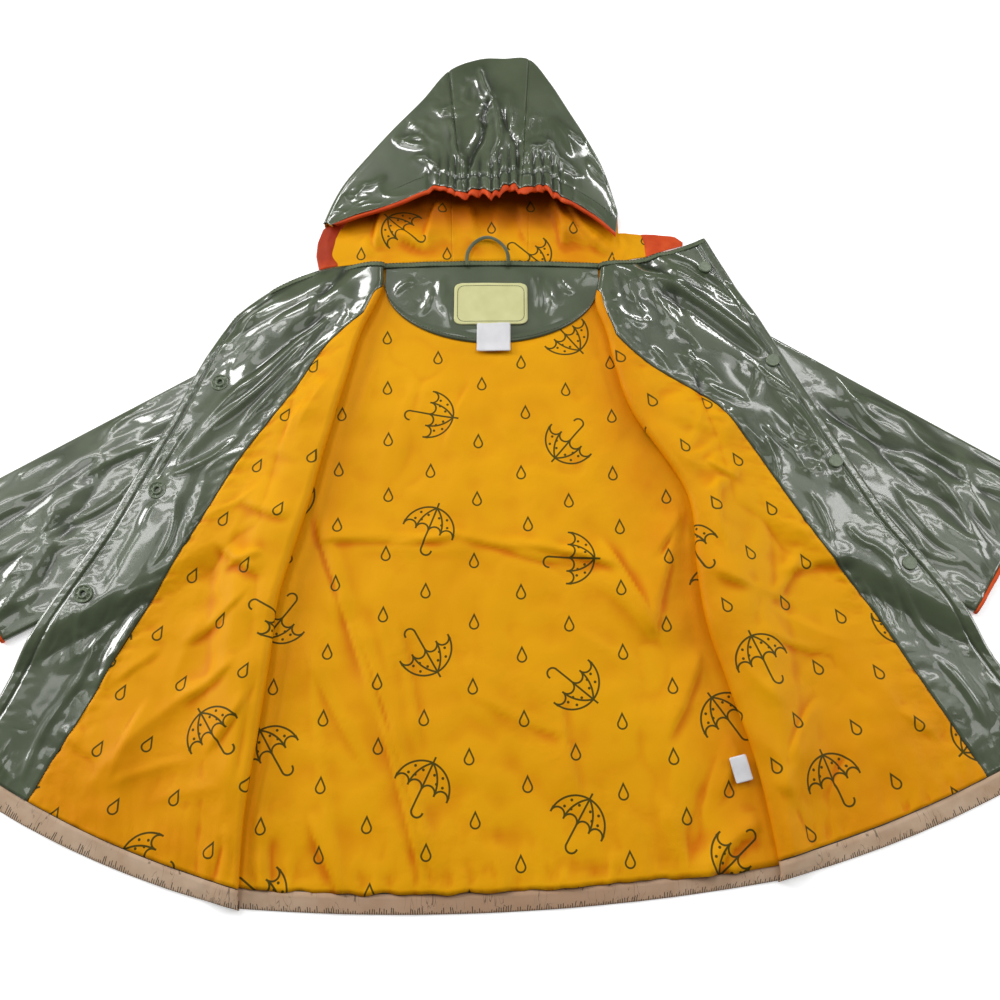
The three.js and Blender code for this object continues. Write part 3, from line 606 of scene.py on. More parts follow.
def plan_point(row, along):
    t = along / row.length
    bow = row.bow * 4 * t * (1 - t)
    return (
        row.fold_x + row.out_x * along + row.up_x * bow,
        row.fold_y + row.out_y * along + row.up_y * bow,
    )


def seam_point(front, at):
    row = plan_row(front, at)
    return np.stack(np.broadcast_arrays(*plan_point(row, row.seam)), axis=-1)


def ridges(folds, x, y):
    """Long soft folds: ridges from one place to another that fade at both ends."""
    height = np.zeros(np.broadcast(x, y).shape)
    for x0, y0, x1, y1, rise, width in zip(*folds.values()):
        length = math.hypot(x1 - x0, y1 - y0)
        run_x = (x1 - x0) / length
        run_y = (y1 - y0) / length
        along = (x - x0) * run_x + (y - y0) * run_y
        across = (x - x0) * run_y - (y - y0) * run_x
        ends = smooth(along, 0, length / 4) * (1 - smooth(along, 3 * length / 4, length))
        height = np.maximum(height, rise * ends / (1 + (across / width) ** 4))
    return height


def creased(table, x, y):
    """Bent creases as listed: crests where the height is positive and troughs where it isn't."""
    height = np.zeros(np.broadcast(x, y).shape)
    for x0, y0, x1, y1, bend, rise, width in zip(*table.values()):
        length = math.hypot(x1 - x0, y1 - y0)
        run_x = (x1 - x0) / length
        run_y = (y1 - y0) / length
        along = ((x - x0) * run_x + (y - y0) * run_y) / length
        across = (x - x0) * run_y - (y - y0) * run_x - bend * 4 * along * (1 - along)
        ends = smooth(along, -0.12, 0.3) * (1 - smooth(along, 0.7, 1.12))
        height += rise * ends * np.exp(0.3 - np.sqrt((across / width) ** 2 + 0.09))
    return height


def pleated(table, x, y):
    """Laps of slack cloth: each rises slowly to its line, which bends, and drops sharply beyond it,
    to the right of the way that the line runs."""
    height = np.zeros(np.broadcast(x, y).shape)
    for x0, y0, x1, y1, bend, rise, width in zip(*table.values()):
        length = math.hypot(x1 - x0, y1 - y0)
        run_x = (x1 - x0) / length
        run_y = (y1 - y0) / length
        along = ((x - x0) * run_x + (y - y0) * run_y) / length
        across = (x - x0) * run_y - (y - y0) * run_x - bend * 4 * along * (1 - along)
        ends = smooth(along, -0.05, 0.3) * (1 - smooth(along, 0.75, 1.05))
        steep = np.exp(-((np.maximum(across, 0) / 2.7) ** 2))
        slow = np.exp(-((np.maximum(-across, 0) / width) ** 1.4))
        height += rise * ends * steep * slow
    return height


def waved(x, y, size, seed):
    """Gentle unevenness from -1 to 1, about one size from crest to crest."""
    x, y = np.broadcast_arrays(x, y)
    found = (noise.noise((a / size, b / size, seed)) for a, b in zip(x.flat, y.flat))
    return np.fromiter(found, float, x.size).reshape(x.shape) * 1.6


def crumple(x, y, size, seed, hard=1.0):
    """Uneven crests from 0 to 1, about one size apart. A hard crest is narrow, as in coated cloth."""
    return np.clip(1 - np.abs(waved(x, y, size, seed)), 0, 1) ** (2 * hard)


def puckers(t, away, size, reach, seed):
    """Small ripples that a seam draws into the cloth beside it. t runs along the seam, in
    millimetres, and away is the distance from it."""
    broad = waved(t / size, away / (3 * size), 1.0, seed)
    fine = waved(t / size * 2.3, away / size, 1.0, seed + 3)
    return (broad + 0.5 * fine) * np.exp(-away / reach) * smooth(away, 0, 1.5)


def sleeve_plan(front, along, over):
    """A place in a sleeve's plan: along it from the armhole, 0, to the cuff, 1, and over it from its
    upper edge, 0, to its lower edge, 1."""
    along, over = np.broadcast_arrays(np.asarray(along, float), np.asarray(over, float))
    top = seam_point(front, SHOULDER)
    low = seam_point(front, UNDERARM)
    armhole = top + (low - top) * over[..., None]
    cuff_top, cuff_low = (np.array(corner, float) for corner in front.cuff)
    cuff = cuff_top + (cuff_low - cuff_top) * over[..., None]
    curve = seam_point(front, SHOULDER + (UNDERARM - SHOULDER) * over) - armhole
    curve[..., 0] += np.sign(cuff_top[0]) * 0.3
    return armhole + (cuff - armhole) * along[..., None] + curve * ((1 - along) ** 2)[..., None]


def cuff_middle(front):
    return np.mean(front.cuff, axis=0)


def outside_sleeve(front, x, y):
    """How far a place is outside the sleeve's four sides in plan."""
    corners = [sleeve_plan(front, a, b) for a, b in ((0, 0), (1, 0), (1, 1), (0, 1))]
    turn = -np.sign(front.cuff[0][0])
    most = np.full(np.broadcast(x, y).shape, -np.inf)
    for i, corner in enumerate(corners):
        edge = corners[(i + 1) % 4] - corner
        edge = edge / np.linalg.norm(edge)
        most = np.maximum(most, ((x - corner[0]) * edge[1] - (y - corner[1]) * edge[0]) * turn)
    return most


def rest_height(front, row, along):
    """How high a front lies on its own lower leg, then on the sleeve, then on the table."""
    x, y = plan_point(row, along)
    leg = LEG_TOP * (1 - smooth(along, row.seam + 2, row.seam + 2 + DRAPE))
    outside = outside_sleeve(front, x, y)
    sleeve = (SLEEVE_TOP + CUFF_RISE + SEAM_GAP) * (1 - smooth(outside, 5, 5 + DRAPE))
    lies = np.maximum(leg, sleeve)
    return lies + SEAM_GAP * smooth(lies, 0, 1) + MIDDLE


# Where the snaps are, from the neck down: the left front's four caps, the right front's three
# sockets. Each presses the cloth flat as far as its reach.
SNAPS = np.array([
    (181, 217), (231, 122), (274, 30), (323, -56), (-235, 101), (-277, 5), (-325, -81),
], float)
SNAP_REACH = 7.5


def clear_of_snaps(x, y):
    """0 under a snap, where the cloth is pressed flat, and 1 away from it."""
    away = np.min([np.hypot(x - snap_x, y - snap_y) for snap_x, snap_y in SNAPS], axis=0)
    return smooth(away, SNAP_REACH, 2 * SNAP_REACH)


def top_height(front, row, along, relief):
    """How high a front's upper layer lies. relief is the creases' share."""
    rolled = LEG_MIDDLE + 2 * row.roll - rest_height(front, row, row.centre)
    x, y = plan_point(row, along)
    free = smooth(along, row.centre, row.centre + 30)
    folded = ridges(front.folds, x, y) * free
    held = 1 - smooth(along, row.centre, row.centre + RELAX)
    near_edge = 1 - 0.7 * smooth(along, row.length - 12, row.length - 3)
    laid = creased(front.creases, x, y) * 1.25 + pleated(front.pleats, x, y)
    fine = laid * smooth(along, row.centre - 1, row.centre + 14) * near_edge * clear_of_snaps(x, y)
    return rest_height(front, row, along) + rolled * held + folded + fine * relief


def front_point(front, at, s, offset, relief=1.0):
    """A place on a front. s runs along the cloth: it is the distance from the fold on the upper
    layer, and goes on below it round the roll and out along the lower leg to the side seam. The
    offset is from the cloth's middle line, to the lining's side. relief is the creases' share."""
    row = plan_row(front, at)
    turned = np.clip((row.centre - s) / row.roll, 0, math.pi)
    beyond = np.maximum(row.centre - math.pi * row.roll - s, 0)
    upper = s >= row.centre
    along = np.where(upper, s, row.centre - row.roll * np.sin(turned) + beyond)
    over = np.where(upper, along, row.centre)
    before = top_height(front, row, over - 0.5, relief)
    after = top_height(front, row, over + 0.5, relief)
    heading = np.where(upper, np.arctan((after - before) * upper), turned)
    height = np.where(upper, (before + after) / 2, LEG_MIDDLE + row.roll * (1 + np.cos(turned)))
    x, y = plan_point(row, along)
    x = x - row.out_x * np.sin(heading) * offset
    y = y - row.out_y * np.sin(heading) * offset
    return np.stack([x, y, height + np.cos(heading) * offset], axis=-1)


def even_rows(front, first, last, spacing):
    """Row numbers that lie one spacing apart along the front edge."""
    fine = np.linspace(first, last, 400)
    row = plan_row(front, fine)
    edge = np.hypot(np.diff(row.edge_x), np.diff(row.edge_y))
    fold = np.hypot(np.diff(row.fold_x), np.diff(row.fold_y))
    far_along = np.concatenate([[0], np.cumsum((edge + fold) / 2)])
    count = max(2, round(far_along[-1] / spacing))
    return np.interp(np.linspace(0, far_along[-1], count + 1), far_along, fine)


def back_plan(at, across):
    """A place on the back: at is the row, and across goes from the right side seam, 0, to the left, 1."""
    bow = 3 * (1 - smooth(at, 0, 2)) - 12 * smooth(at, 8, BAND)
    across = np.asarray(across, float)
    right = seam_point(right_front, at)
    place = right + (seam_point(left_front, at) - right) * across[..., None]
    place[..., 1] += bow * 4 * across * (1 - across)
    return place


def flat_grain(places):
    return places[..., :2].copy()


BACK_TOP = 0.85
back_rows = even_rows(right_front, 0, HEM, 12)[:, None]
back_across = np.linspace(0, 1, 28)[None, :]
flat_places = back_plan(back_rows, back_across)
places = np.concatenate([flat_places, np.full_like(flat_places[..., :1], BACK_TOP)], axis=2)
back_cloth = sheet_of("back_outer_cloth", places, flat_grain(places), COATED, thick=0.8)
attach(back_cloth, "coated_cloth", "back_shell")
flat, area = cut_of(places)


# The back lining: thin yellow polyester with an outline print, sewn to the back at the neck, the
# sides and the hem band. It is cut a little larger than the back, so it lies in long soft folds.
def printed_lining():
    """Satin polyester, printed in dark green with outline umbrellas and raindrops."""
    soft = {"Roughness": 0.55, "Specular IOR Level": 0.09}
    finish = Finish("printed_lining", soft)
    across, along = finish.grain()

    # Umbrellas in columns, each column a step lower than the last, each turned its own way
    column_width, repeat, step = 114, 100, 25
    column = (across * (1 / column_width)).floor()
    lowered = along + column * step
    line = (lowered * (1 / repeat)).floor()
    centre_x = across - column * column_width - column_width / 2
    centre_y = lowered - line * repeat - repeat / 2
    turn = finish.chance(finish.point(column, line)) * (2 * math.pi)
    cosine = turn.sum("COSINE")
    sine = turn.sum("SINE")
    x = centre_x * cosine - centre_y * sine
    y = centre_x * sine + centre_y * cosine + 3
    side = abs(x)
    canopy = 21.0
    scallop = canopy / 4
    hook = 4.2
    shaft_end = 15.0
    rib_centre = 15.75
    below = -y
    dome = abs(far(x, y) - canopy).most(below)
    hem = abs(far((x + canopy) % (2 * scallop) - scallop, y) - scallop).most(below, side - canopy)
    rib = abs(far(side + rib_centre, y) - (rib_centre + canopy / 2)).most(below)
    shaft = side.most(y - (canopy + 4), below - shaft_end)
    handle = abs(far(x - hook, y + shaft_end) - hook).most(y + shaft_end)
    umbrella = dome.least(hem, rib, shaft, handle)
    for dot_x, dot_y in ((4.6, 13.5), (13.8, 7.6), (8.6, 8.2), (11.2, 14.0)):
        umbrella = umbrella.least(far(side - dot_x, y - dot_y) - 0.35)

    # Raindrops between them, in a half-drop layout, left out where an umbrella is
    drop_across, drop_along = 38, 50
    drop_column = (across * (1 / drop_across)).floor()
    shifted = along + (drop_column % 2) * (drop_along / 2)
    drop_line = (shifted * (1 / drop_along)).floor()
    number = finish.point(drop_column + 7, drop_line)
    sway = (finish.chance(number) - 0.5) * 8
    drop_x = across - drop_column * drop_across - drop_across / 2 + sway
    drop_y = shifted - drop_line * drop_along - drop_along / 2 + sway
    middle_x = across - drop_x
    middle_column = (middle_x * (1 / column_width)).floor()
    middle_y = along - drop_y + middle_column * step
    away_x = middle_x - middle_column * column_width - column_width / 2
    away_y = middle_y % repeat - repeat / 2
    umbrella_reach = 33
    kept = far(away_x, away_y).share(umbrella_reach, umbrella_reach + 0.5)
    belly, tip = 3.4, 7.9
    rise = belly / tip
    run = math.sqrt(1 - rise * rise)
    drop_side = abs(drop_x)
    drop_up = drop_y + 2.4
    straight = drop_side * run + drop_up * rise - belly
    rounded = far(drop_side, drop_up) - belly
    pointed = (drop_up * run - drop_side * rise).share(0, 0.01)
    drop = abs(rounded + (straight - rounded) * pointed)
    pen, drop_pen, soft_edge = 0.92, 0.84, 0.36
    outline = (-(umbrella - pen)).share(0, soft_edge)
    drops = (-(drop - drop_pen)).share(0, soft_edge) * kept
    ink = outline.most(drops)

    place = finish.place()
    tone = finish.cloudy(place, 90, 2)
    yellow = finish.between(tone.share(0.3, 0.7), (0.77, 0.335, 0.001), (0.83, 0.385, 0.002))

    # Painted shade and bounce light: the cloth is painted a deeper orange where it faces itself, at the
    # fronts' rolls, low on the fronts, in hollows and under the hood's brim, where the painted shade is
    # darkest
    x, y = finish.spot()
    clouds = finish.cloudy(place, 30, 2).share(0.3, 0.62) * 0.5 + 0.5
    at_right_roll = (-abs(x - y * 0.168 + 137)).share(-18, -2) * 0.35
    at_left_roll = (-abs(x + y * 0.25 - 128)).share(-46, -4) * 0.6
    low_down = (-y).share(40, 220) * abs(x - 7).share(165, 240) * 0.5
    under_brim = y.share(244, 268) * 0.9
    deep = at_right_roll.most(at_left_roll, low_down) * clouds
    yellow = finish.between(deep.most(under_brim, finish.hollow()), yellow, (0.64, 0.17, 0.0))
    # Painted shadow right under the hood's brim, darker still
    yellow = finish.between(y.share(256, 272) * 0.75, yellow, (0.36, 0.08, 0.0))
    finish.colour(finish.between(ink * 0.94, yellow, (0.035, 0.042, 0.006)))
    rumple = finish.cloudy(place, 10, 3, 0.5)
    slack = finish.cloudy(place, 60, 1).share(0.4, 0.62) * 0.8 + 0.2
    finish.relief(rumple * slack, 0.7)
    return finish


LINING = printed_lining()
BACK_FOLDS = table_of(FOLD, [
    (-152, 0, -118, -110, 3.0, 9),
    (-118, -90, -50, -290, 3.4, 9),
    (-125, -36, -10, -40, 2.2, 8),
    (0, -36, 80, -55, 2.0, 8),
    (70, -55, 150, -125, 2.4, 9),
    (-60, 120, -95, 20, 2.0, 10),
    (40, 110, 90, 10, 2.0, 10),
    (150, -180, 120, -270, 2.4, 10),
    (-30, -150, 60, -230, 1.8, 12),
])
BACK_CREASES = table_of(CREASE, [
    (-158, 2, -114, -104, 3, -2.0, 3.0),
    (-116, -98, -48, -298, -3, -2.4, 3.0),
    (-146, -115, -112, -300, 4, 1.2, 5),
    (-126, -34, -46, -40, -3, -1.2, 3),
    (-18, -36, 80, -60, 5, -1.3, 3.4),
    (78, -58, 128, -118, 3, 1.1, 4),
    (178, -184, 148, -254, 5, 1.6, 5),
    (160, -98, 176, -172, 3, -1.5, 5),
    (170, -190, 134, -297, 6, -2.0, 5),
    (-98, -80, -76, -210, -4, 1.0, 7),
    (-102, 128, -118, 66, 3, 1.3, 5),
    (-60, 128, -75, 40, 4, -1.0, 7),
    (78, 138, 99, 40, -4, 1.2, 6),
    (46, -98, 110, -134, 4, 1.0, 6),
    (106, -160, 111, -238, 3, -1.1, 7),
    (116, -232, 138, -296, -3, 1.4, 5),
    (-46, -114, -22, -164, 2, 0.9, 5),
    (-168, -200, -180, -290, 3, 2.0, 4),
    (-160, -116, -176, -224, -3, 1.3, 5),
    (-176, -270, -168, -300, 1, 1.7, 2.4),
    (-164, -262, -160, -300, 1, -1.4, 2.6),
    (-152, -272, -150, -300, 0, 1.2, 2.6),
    (-20, 100, 20, 60, 6, 0.8, 8),
    (-90, 20, -30, -10, 4, 0.8, 8),
    (10, 20, 70, 10, -5, 0.8, 8),
    (-60, -200, 20, -220, 6, 0.8, 9),
    (20, -250, 90, -280, 4, 0.9, 7),
    (-10, -284, 2, -300, 1, 0.9, 3),
    (44, -280, 52, -300, 1, 0.9, 3),
    (-90, -276, -84, -300, 1, 1.0, 3),
    (150, -276, 156, -296, 1, 1.2, 2.4),
    (164, -262, 172, -292, 1, 1.3, 2.4),
])
BACK_PLEATS = table_of(CREASE, [
    (-152, -10, -88, -178, 0, 3.2, 15),
    (-96, -158, -52, -296, -2, 4.2, 17),
    (-155, -108, -96, -214, 3, 1.6, 12),
    (-139, -244, -109, -302, 2, 2.8, 10),
    (-148, -36, -78, -35, -2, 2.6, 12),
    (-88, -36, -30, -29, 2, 2.2, 9),
    (-40, -28, 20, -41, 2, 2.0, 10),
    (12, -38, 92, -55, -2, 2.2, 11),
    (121, -114, 79, -33, 3, 3.0, 11),
    (46, -44, 96, -58, -2, 1.8, 8),
    (120, -50, 157, 9, 2, 3.4, 10),
    (154, -1, 132, -54, 1, 2.2, 6),
    (117, -118, 137, -42, -2, 3.0, 12),
    (122, -194, 155, -122, 3, 2.8, 13),
    (136, -299, 194, -248, -4, 4.4, 14),
    (192, -221, 202, -270, 1, 2.4, 8),
    (157, -237, 181, -190, 2, 2.4, 10),
    (-126, 92, -136, 22, 2, 1.3, 14),
    (86, 145, 118, 67, -3, 1.6, 14),
    (-60, -206, -84, -96, 3, 1.2, 14),
    (60, -240, 44, -150, -3, 1.2, 14),
    (-20, 110, -46, 40, 3, 1.0, 16),
    (-30, -150, 60, -190, 5, 1.2, 14),
    (-176, -240, -168, -298, 1, 2.2, 7),
    (-6, -262, 4, -300, 0, 1.3, 8),
    (84, -268, 76, -300, 0, 1.5, 8),
])

# The half moon of the back neck facing, which holds the lining down: its middle, half its width, the
# level of its straight edge and its depth
NECK_MIDDLE = -7.2
NECK_HALF = 93.7
NECK_LEVEL = 200
NECK_DEPTH = 58


def fold_at(front, y):
    """Where a front's fold line is, at a height on the back."""
    order = np.argsort(front.rows["fold_y"])
    return np.interp(y, front.rows["fold_y"][order], front.rows["fold_x"][order])


def back_lift(x, y):
    """How far the back lining stands up in folds, between the two fronts' folds."""
    clear = np.minimum(x - fold_at(right_front, y), fold_at(left_front, y) - x) - 4
    low = creased(BACK_CREASES, x, y) + pleated(BACK_PLEATS, x, y)
    low = low + 1.2 * waved(x, y, 52, 5.0) + 0.5 * waved(x, y, 21, 9.0)
    low = low + 1.1 * puckers(x, np.maximum(y + 306, 0), 9.0, 18.0, 17.0)
    lift = ridges(BACK_FOLDS, x, y) * smooth(clear, 0, 16) * 0.6 + low * smooth(clear, -3, 9)
    moon = np.hypot((x - NECK_MIDDLE) / NECK_HALF, np.maximum(NECK_LEVEL - y, 0) / NECK_DEPTH)
    return lift * smooth(moon, 0.99, 1.2)


back_rows = even_rows(right_front, 0, BAND - BAND_GAP, 2.2)[:, None]
back_across = np.linspace(0, 1, 180)[None, :]
flat_places = back_plan(back_rows, back_across)
height = LINING_TOP + back_lift(flat_places[..., 0], flat_places[..., 1])
height = np.maximum(height, WALL + 0.6)

# Its slack hangs over the hem band's seam in a soft uneven roll
from_hem = flat_places[..., 1] - flat_places[-1:, :, 1]
at_hem = 1 - smooth(from_hem, 0, 9)
hem_x = flat_places[..., 0]
droop = 1.3 + 1.5 * waved(hem_x, 0 * hem_x, 15, 23.0) + 3.0 * smooth(hem_x, 110, 150)
flat_places[..., 1] -= at_hem * droop
height = height + 1.3 * np.exp(-(((from_hem - 2.5) / 3) ** 2)) * (1 - 0.6 * at_hem)
places = np.concatenate([flat_places, height[..., None]], axis=2)
back_lining = sheet_of("back_lining_cloth", places, flat_grain(places), LINING, thick=0.35)
attach(back_lining, "lining_cloth", "back_lining")
flat, area = cut_of(places)


# The two fronts: outer cloth, lining and facing, sewn edge to edge. Each front is sewn to the back
# at the side, rolls over at its fold and runs out again with its lining up. The facing is a strip of
# the coated cloth along the front edge; it is folded in at the edge and stitched down.
# First how far cloth dips into a seam, the folded edge's radius, the lowest that a lining and an
# outer cloth come to the table, the stitched band's width, and where the soft corner starts.
SEAM_DIP = 0.75
EDGE_RADIUS = 1.25
LOWEST = 1.1
ON_TABLE = 0.05
EDGE_BAND = 8.8
CORNER_START = 102


def side_seam(row):
    """Where the side seam is along the cloth, below the roll."""
    return row.centre - math.pi * row.roll - (row.seam - row.centre)


def facing_start(row, at):
    """Where the facing begins. At the neck it goes on round the roll."""
    return row.facing - (row.facing - row.centre + 0.9 * math.pi * row.roll) * (1 - smooth(at, 1.9, 2.9))


def spread(first, last, count, share):
    """Numbers from first to last for each row, with a share of them pushed to the ends."""
    t = np.linspace(0, 1, count)
    t = t - share * np.sin(2 * math.pi * t) / (2 * math.pi)
    return first + (last - first) * t[None, :]


def turned_edge(places, grain, radius, steps=7, angle=math.pi):
    """A grid of places with its last column rolled under in a folded edge, and its grain."""
    ahead = places[:, -1] - places[:, -2]
    ahead = ahead / np.linalg.norm(ahead, axis=1, keepdims=True)
    up = np.array([0, 0, 1.0]) - ahead * ahead[:, 2:3]
    up = up / np.linalg.norm(up, axis=1, keepdims=True)
    onward = grain[:, -1] - grain[:, -2]
    onward = onward / np.linalg.norm(onward, axis=1, keepdims=True)
    more_places = []
    more_grain = []
    for turn in np.linspace(0, angle, steps + 1)[1:]:
        rolled = ahead * math.sin(turn) - up * (1 - math.cos(turn))
        more_places.append(places[:, -1] + rolled * radius)
        more_grain.append(grain[:, -1] + onward * radius * turn)
    return (
        np.concatenate([places, np.stack(more_places, axis=1)], axis=1),
        np.concatenate([grain, np.stack(more_grain, axis=1)], axis=1),
    )


def along_edge(front, at):
    """How far down the front a row is, in millimetres."""
    fine = np.linspace(0, HEM, 300)
    row = plan_row(front, fine)
    steps = np.hypot(np.diff(row.edge_x), np.diff(row.edge_y))
    return np.interp(at, fine, np.concatenate([[0], np.cumsum(steps)]))


def edge_distance(front, at, s):
    """How far a place is from the front edge. On the right front the edge goes on round the soft
    corner and along the neck, up to the end of the tape."""
    row = plan_row(front, at)
    from_edge = row.length - s
    if front.side == "left":
        return from_edge
    x, y = plan_point(row, s)
    edge_x, edge_y = plan_point(plan_row(front, 0 * at), s)
    before_corner = 1 - smooth(s, CORNER_START - 5, CORNER_START)
    from_neck = np.hypot(x - edge_x, y - edge_y) + 40 * before_corner
    return -3 * np.log(np.exp(-from_edge / 3) + np.exp(-from_neck / 3))


def front_turn(front):
    """How far the front edge is turned from straight up."""
    return math.atan2(
        front.rows["edge_x"][0] - front.rows["edge_x"][HEM],
        front.rows["edge_y"][0] - front.rows["edge_y"][HEM],
    )


def front_grain(front, at, s):
    """The print's own measure on a front: upright along the front edge, and unbroken round the roll."""
    row = plan_row(front, at)
    x, y = plan_point(row, s)
    edge = front_turn(front)
    across = x * math.cos(edge) - y * math.sin(edge)
    along = x * math.sin(edge) + y * math.cos(edge)
    return np.stack(np.broadcast_arrays(across + 400, along + 60), axis=-1)


def lining_wave(front, x, y):
    """The thin lining's slackness: low swells that sink less than they rise."""
    low = 1.1 * waved(x, y, 44, front.seed) + 0.45 * waved(x, y, 17, front.seed + 5)
    return np.maximum(low + 0.3, -0.7)


def facing_crinkle(front, x, y):
    """The stiff film's crinkles, drawn out along the front edge."""
    edge = front_turn(front)
    across = x * math.cos(edge) - y * math.sin(edge)
    along = (x * math.sin(edge) + y * math.cos(edge)) * 0.45
    where = smooth(waved(x, y, 70, front.seed + 40), -0.15, 0.5)
    stiff = 0.9 * crumple(across, along, 21, front.seed + 20, 1.8)
    stiff = stiff + 0.4 * crumple(across, along, 9, front.seed + 30, 1.6)
    return (stiff * where + 0.8 * waved(across, along, 34, front.seed + 45)) * clear_of_snaps(x, y)


for front in FRONTS:
    at = even_rows(front, 0, BAND - BAND_GAP, 2.4)[:, None]
    row = plan_row(front, at)
    seam_s = side_seam(row)
    start_s = facing_start(row, at)

    # The facing, with the folded edge
    s = np.concatenate([
        spread(start_s, row.length - 14, 50, 0.2)[:, :-1],
        spread(row.length - 14, row.length, 24, 0),
    ], axis=1)
    depth = SEAM_DIP * (1 - smooth(s - start_s, 0, 2.2))
    from_edge = edge_distance(front, at, s)
    band = 0.8 * (1 - smooth(from_edge, EDGE_BAND, EDGE_BAND + 1.2)) * smooth(from_edge, 0, 1.5)
    groove = -1.2 * np.exp(-(((from_edge - EDGE_BAND) / 1.1) ** 2))
    places = front_point(front, at, s, MIDDLE - depth + band + groove)
    down = along_edge(front, at)
    flat_part = smooth(s, row.centre, row.centre + 12) * smooth(from_edge, EDGE_BAND - 2, EDGE_BAND + 4)
    drawn = puckers(down, np.abs(from_edge - EDGE_BAND), 5.0, 6.0, front.seed + 7)
    seamed = puckers(down, np.maximum(s - start_s, 0), 8.0, 9.0, front.seed + 9)
    places[..., 2] += facing_crinkle(front, places[..., 0], places[..., 1]) * flat_part
    places[..., 2] += 0.35 * drawn * smooth(from_edge, 0, 3)
    places[..., 2] += 0.6 * seamed * smooth(s, row.centre, row.centre + 12)
    places[..., 2] = np.maximum(places[..., 2], LOWEST + 0.6)
    grain = front_grain(front, at, s)
    places, grain = turned_edge(places, grain, EDGE_RADIUS)
    facing_cloth = sheet_of(f"front_{front.side}_facing_cloth", places, grain, COATED, thick=0.4)
    attach(facing_cloth, "coated_cloth", f"front_{front.side}_facing")
    flat, area = cut_of(places)
    front.facing_places = places

    # The lining, from the side seam round the roll to the facing, which fills the rows above
    first_row = 2.02
    lined = at[at[:, 0] > first_row]
    row = plan_row(front, lined)
    s = np.concatenate([
        spread(side_seam(row), row.centre - math.pi * row.roll, 6, 0)[:, :-1],
        spread(row.centre - math.pi * row.roll, row.centre + 2, 18, 0)[:, :-1],
        spread(row.centre + 2, np.maximum(facing_start(row, lined), row.centre + 2.2), 84, 0.25),
    ], axis=1)
    end_s = s[:, -1:]
    s = np.minimum(s, facing_start(row, lined))
    depth = SEAM_DIP * (1 - smooth(end_s - s, 0, 2.6))
    places = front_point(front, lined, s, MIDDLE - depth)
    free = smooth(s, row.centre - 4, row.centre + 20) * smooth(end_s - s, 0, 9)
    upper = smooth(s, row.centre, row.centre + 8)
    swell = smooth(s, row.centre - 3 * row.roll, row.centre)
    swell = swell * (1 - smooth(s, row.centre + 12, row.centre + 34))
    x = places[..., 0]
    y = places[..., 1]
    down = along_edge(front, lined)
    seam_pull = puckers(down, end_s - s, 8.0, 15.0, front.seed + 9)
    hem_pull = puckers(s, along_edge(front, BAND) - down, 9.0, 16.0, front.seed + 13)
    places[..., 2] += lining_wave(front, x, y) * free + (0.9 * seam_pull + hem_pull) * upper
    places[..., 2] += 1.1 * waved(x * 0.4, y, 26, front.seed + 50) * swell * smooth(lined, 3, 5)
    places[..., 2] = np.maximum(places[..., 2], LOWEST)
    lining_cloth = sheet_of(
        f"front_{front.side}_lining_cloth", places, front_grain(front, lined, s), LINING, thick=0.3
    )
    attach(lining_cloth, "lining_cloth", f"front_{front.side}_lining")
    flat, area = cut_of(places)

    # The outer cloth under both, from the side seam to the front edge
    at = even_rows(front, 0, HEM, 5)[:, None]
    row = plan_row(front, at)
    s = np.concatenate([
        spread(side_seam(row), row.centre - math.pi * row.roll, 5, 0)[:, :-1],
        spread(row.centre - math.pi * row.roll, row.centre + 2, 10, 0)[:, :-1],
        spread(row.centre + 2, row.length - 0.3, 44, 0),
    ], axis=1)
    places = front_point(front, at, s, -MIDDLE, relief=0.45)
    places[..., 2] = np.maximum(places[..., 2], ON_TABLE)
    outer = sheet_of(
        f"front_{front.side}_outer_cloth", places, front_grain(front, at, s), COATED,
        thick=0.5, face=(0, 0, -1),
    )
    attach(outer, "coated_cloth", f"front_{front.side}_shell")
    flat, area = cut_of(places)


# The hem band: a strip of sand-coloured cloth turned up inside the hem, with fine dark marks that
# stand up from its lower edge. The lining is sewn to its upper edge.
def marked_hem():
    """Sand-coloured cotton with painted shade that makes it darker and browner at the middle, with dark
    ticks of uneven length and thin veins.
    """
    finish = Finish("marked_hem_cloth", {"Roughness": 0.85, "Specular IOR Level": 0.25})
    across, along = finish.grain()
    place = finish.place()
    tone = finish.cloudy(place, 16, 3)
    sand = finish.between(tone.share(0.3, 0.7), (0.46, 0.31, 0.20), (0.56, 0.41, 0.29))
    # Painted shade: the band's middle is painted darker and browner where shade lies over it.
    shaded_middle = (-abs(finish.spot()[0] - 7)).share(-230, -60) * 0.7
    sand = finish.between(shaded_middle, sand, (0.40, 0.235, 0.14))
    spacing, longest = 1.7, 7
    number = (across * (1 / spacing)).floor()
    chosen = finish.chance(finish.point(number, 3.0))
    reach = chosen * chosen * longest + 0.4
    lean = (finish.chance(finish.point(number, 9.0)) - 0.5) * 0.3
    from_mark = abs(across - number * spacing - spacing / 2 + along * lean)
    tick = (-(from_mark - 0.42)).share(0, 0.25) * (reach - along).share(0, 0.8)
    wander = finish.cloudy(finish.point(across, along * 0.25), 5.5, 2)
    patchy = finish.cloudy(place, 20, 1).share(0.5, 0.6)
    vein = (-(abs(wander - 0.5) - 0.012)).share(0, 0.008) * patchy * 0.6
    finish.colour(finish.between(tick.most(vein), sand, (0.03, 0.028, 0.02)))
    weave = (across * 6).sum("SINE") * (along * 6).sum("SINE")
    finish.relief(weave * 0.2 + tone, 0.25)
    return finish


HEM_CLOTH = marked_hem()
BAND_WIDTH = 13.0


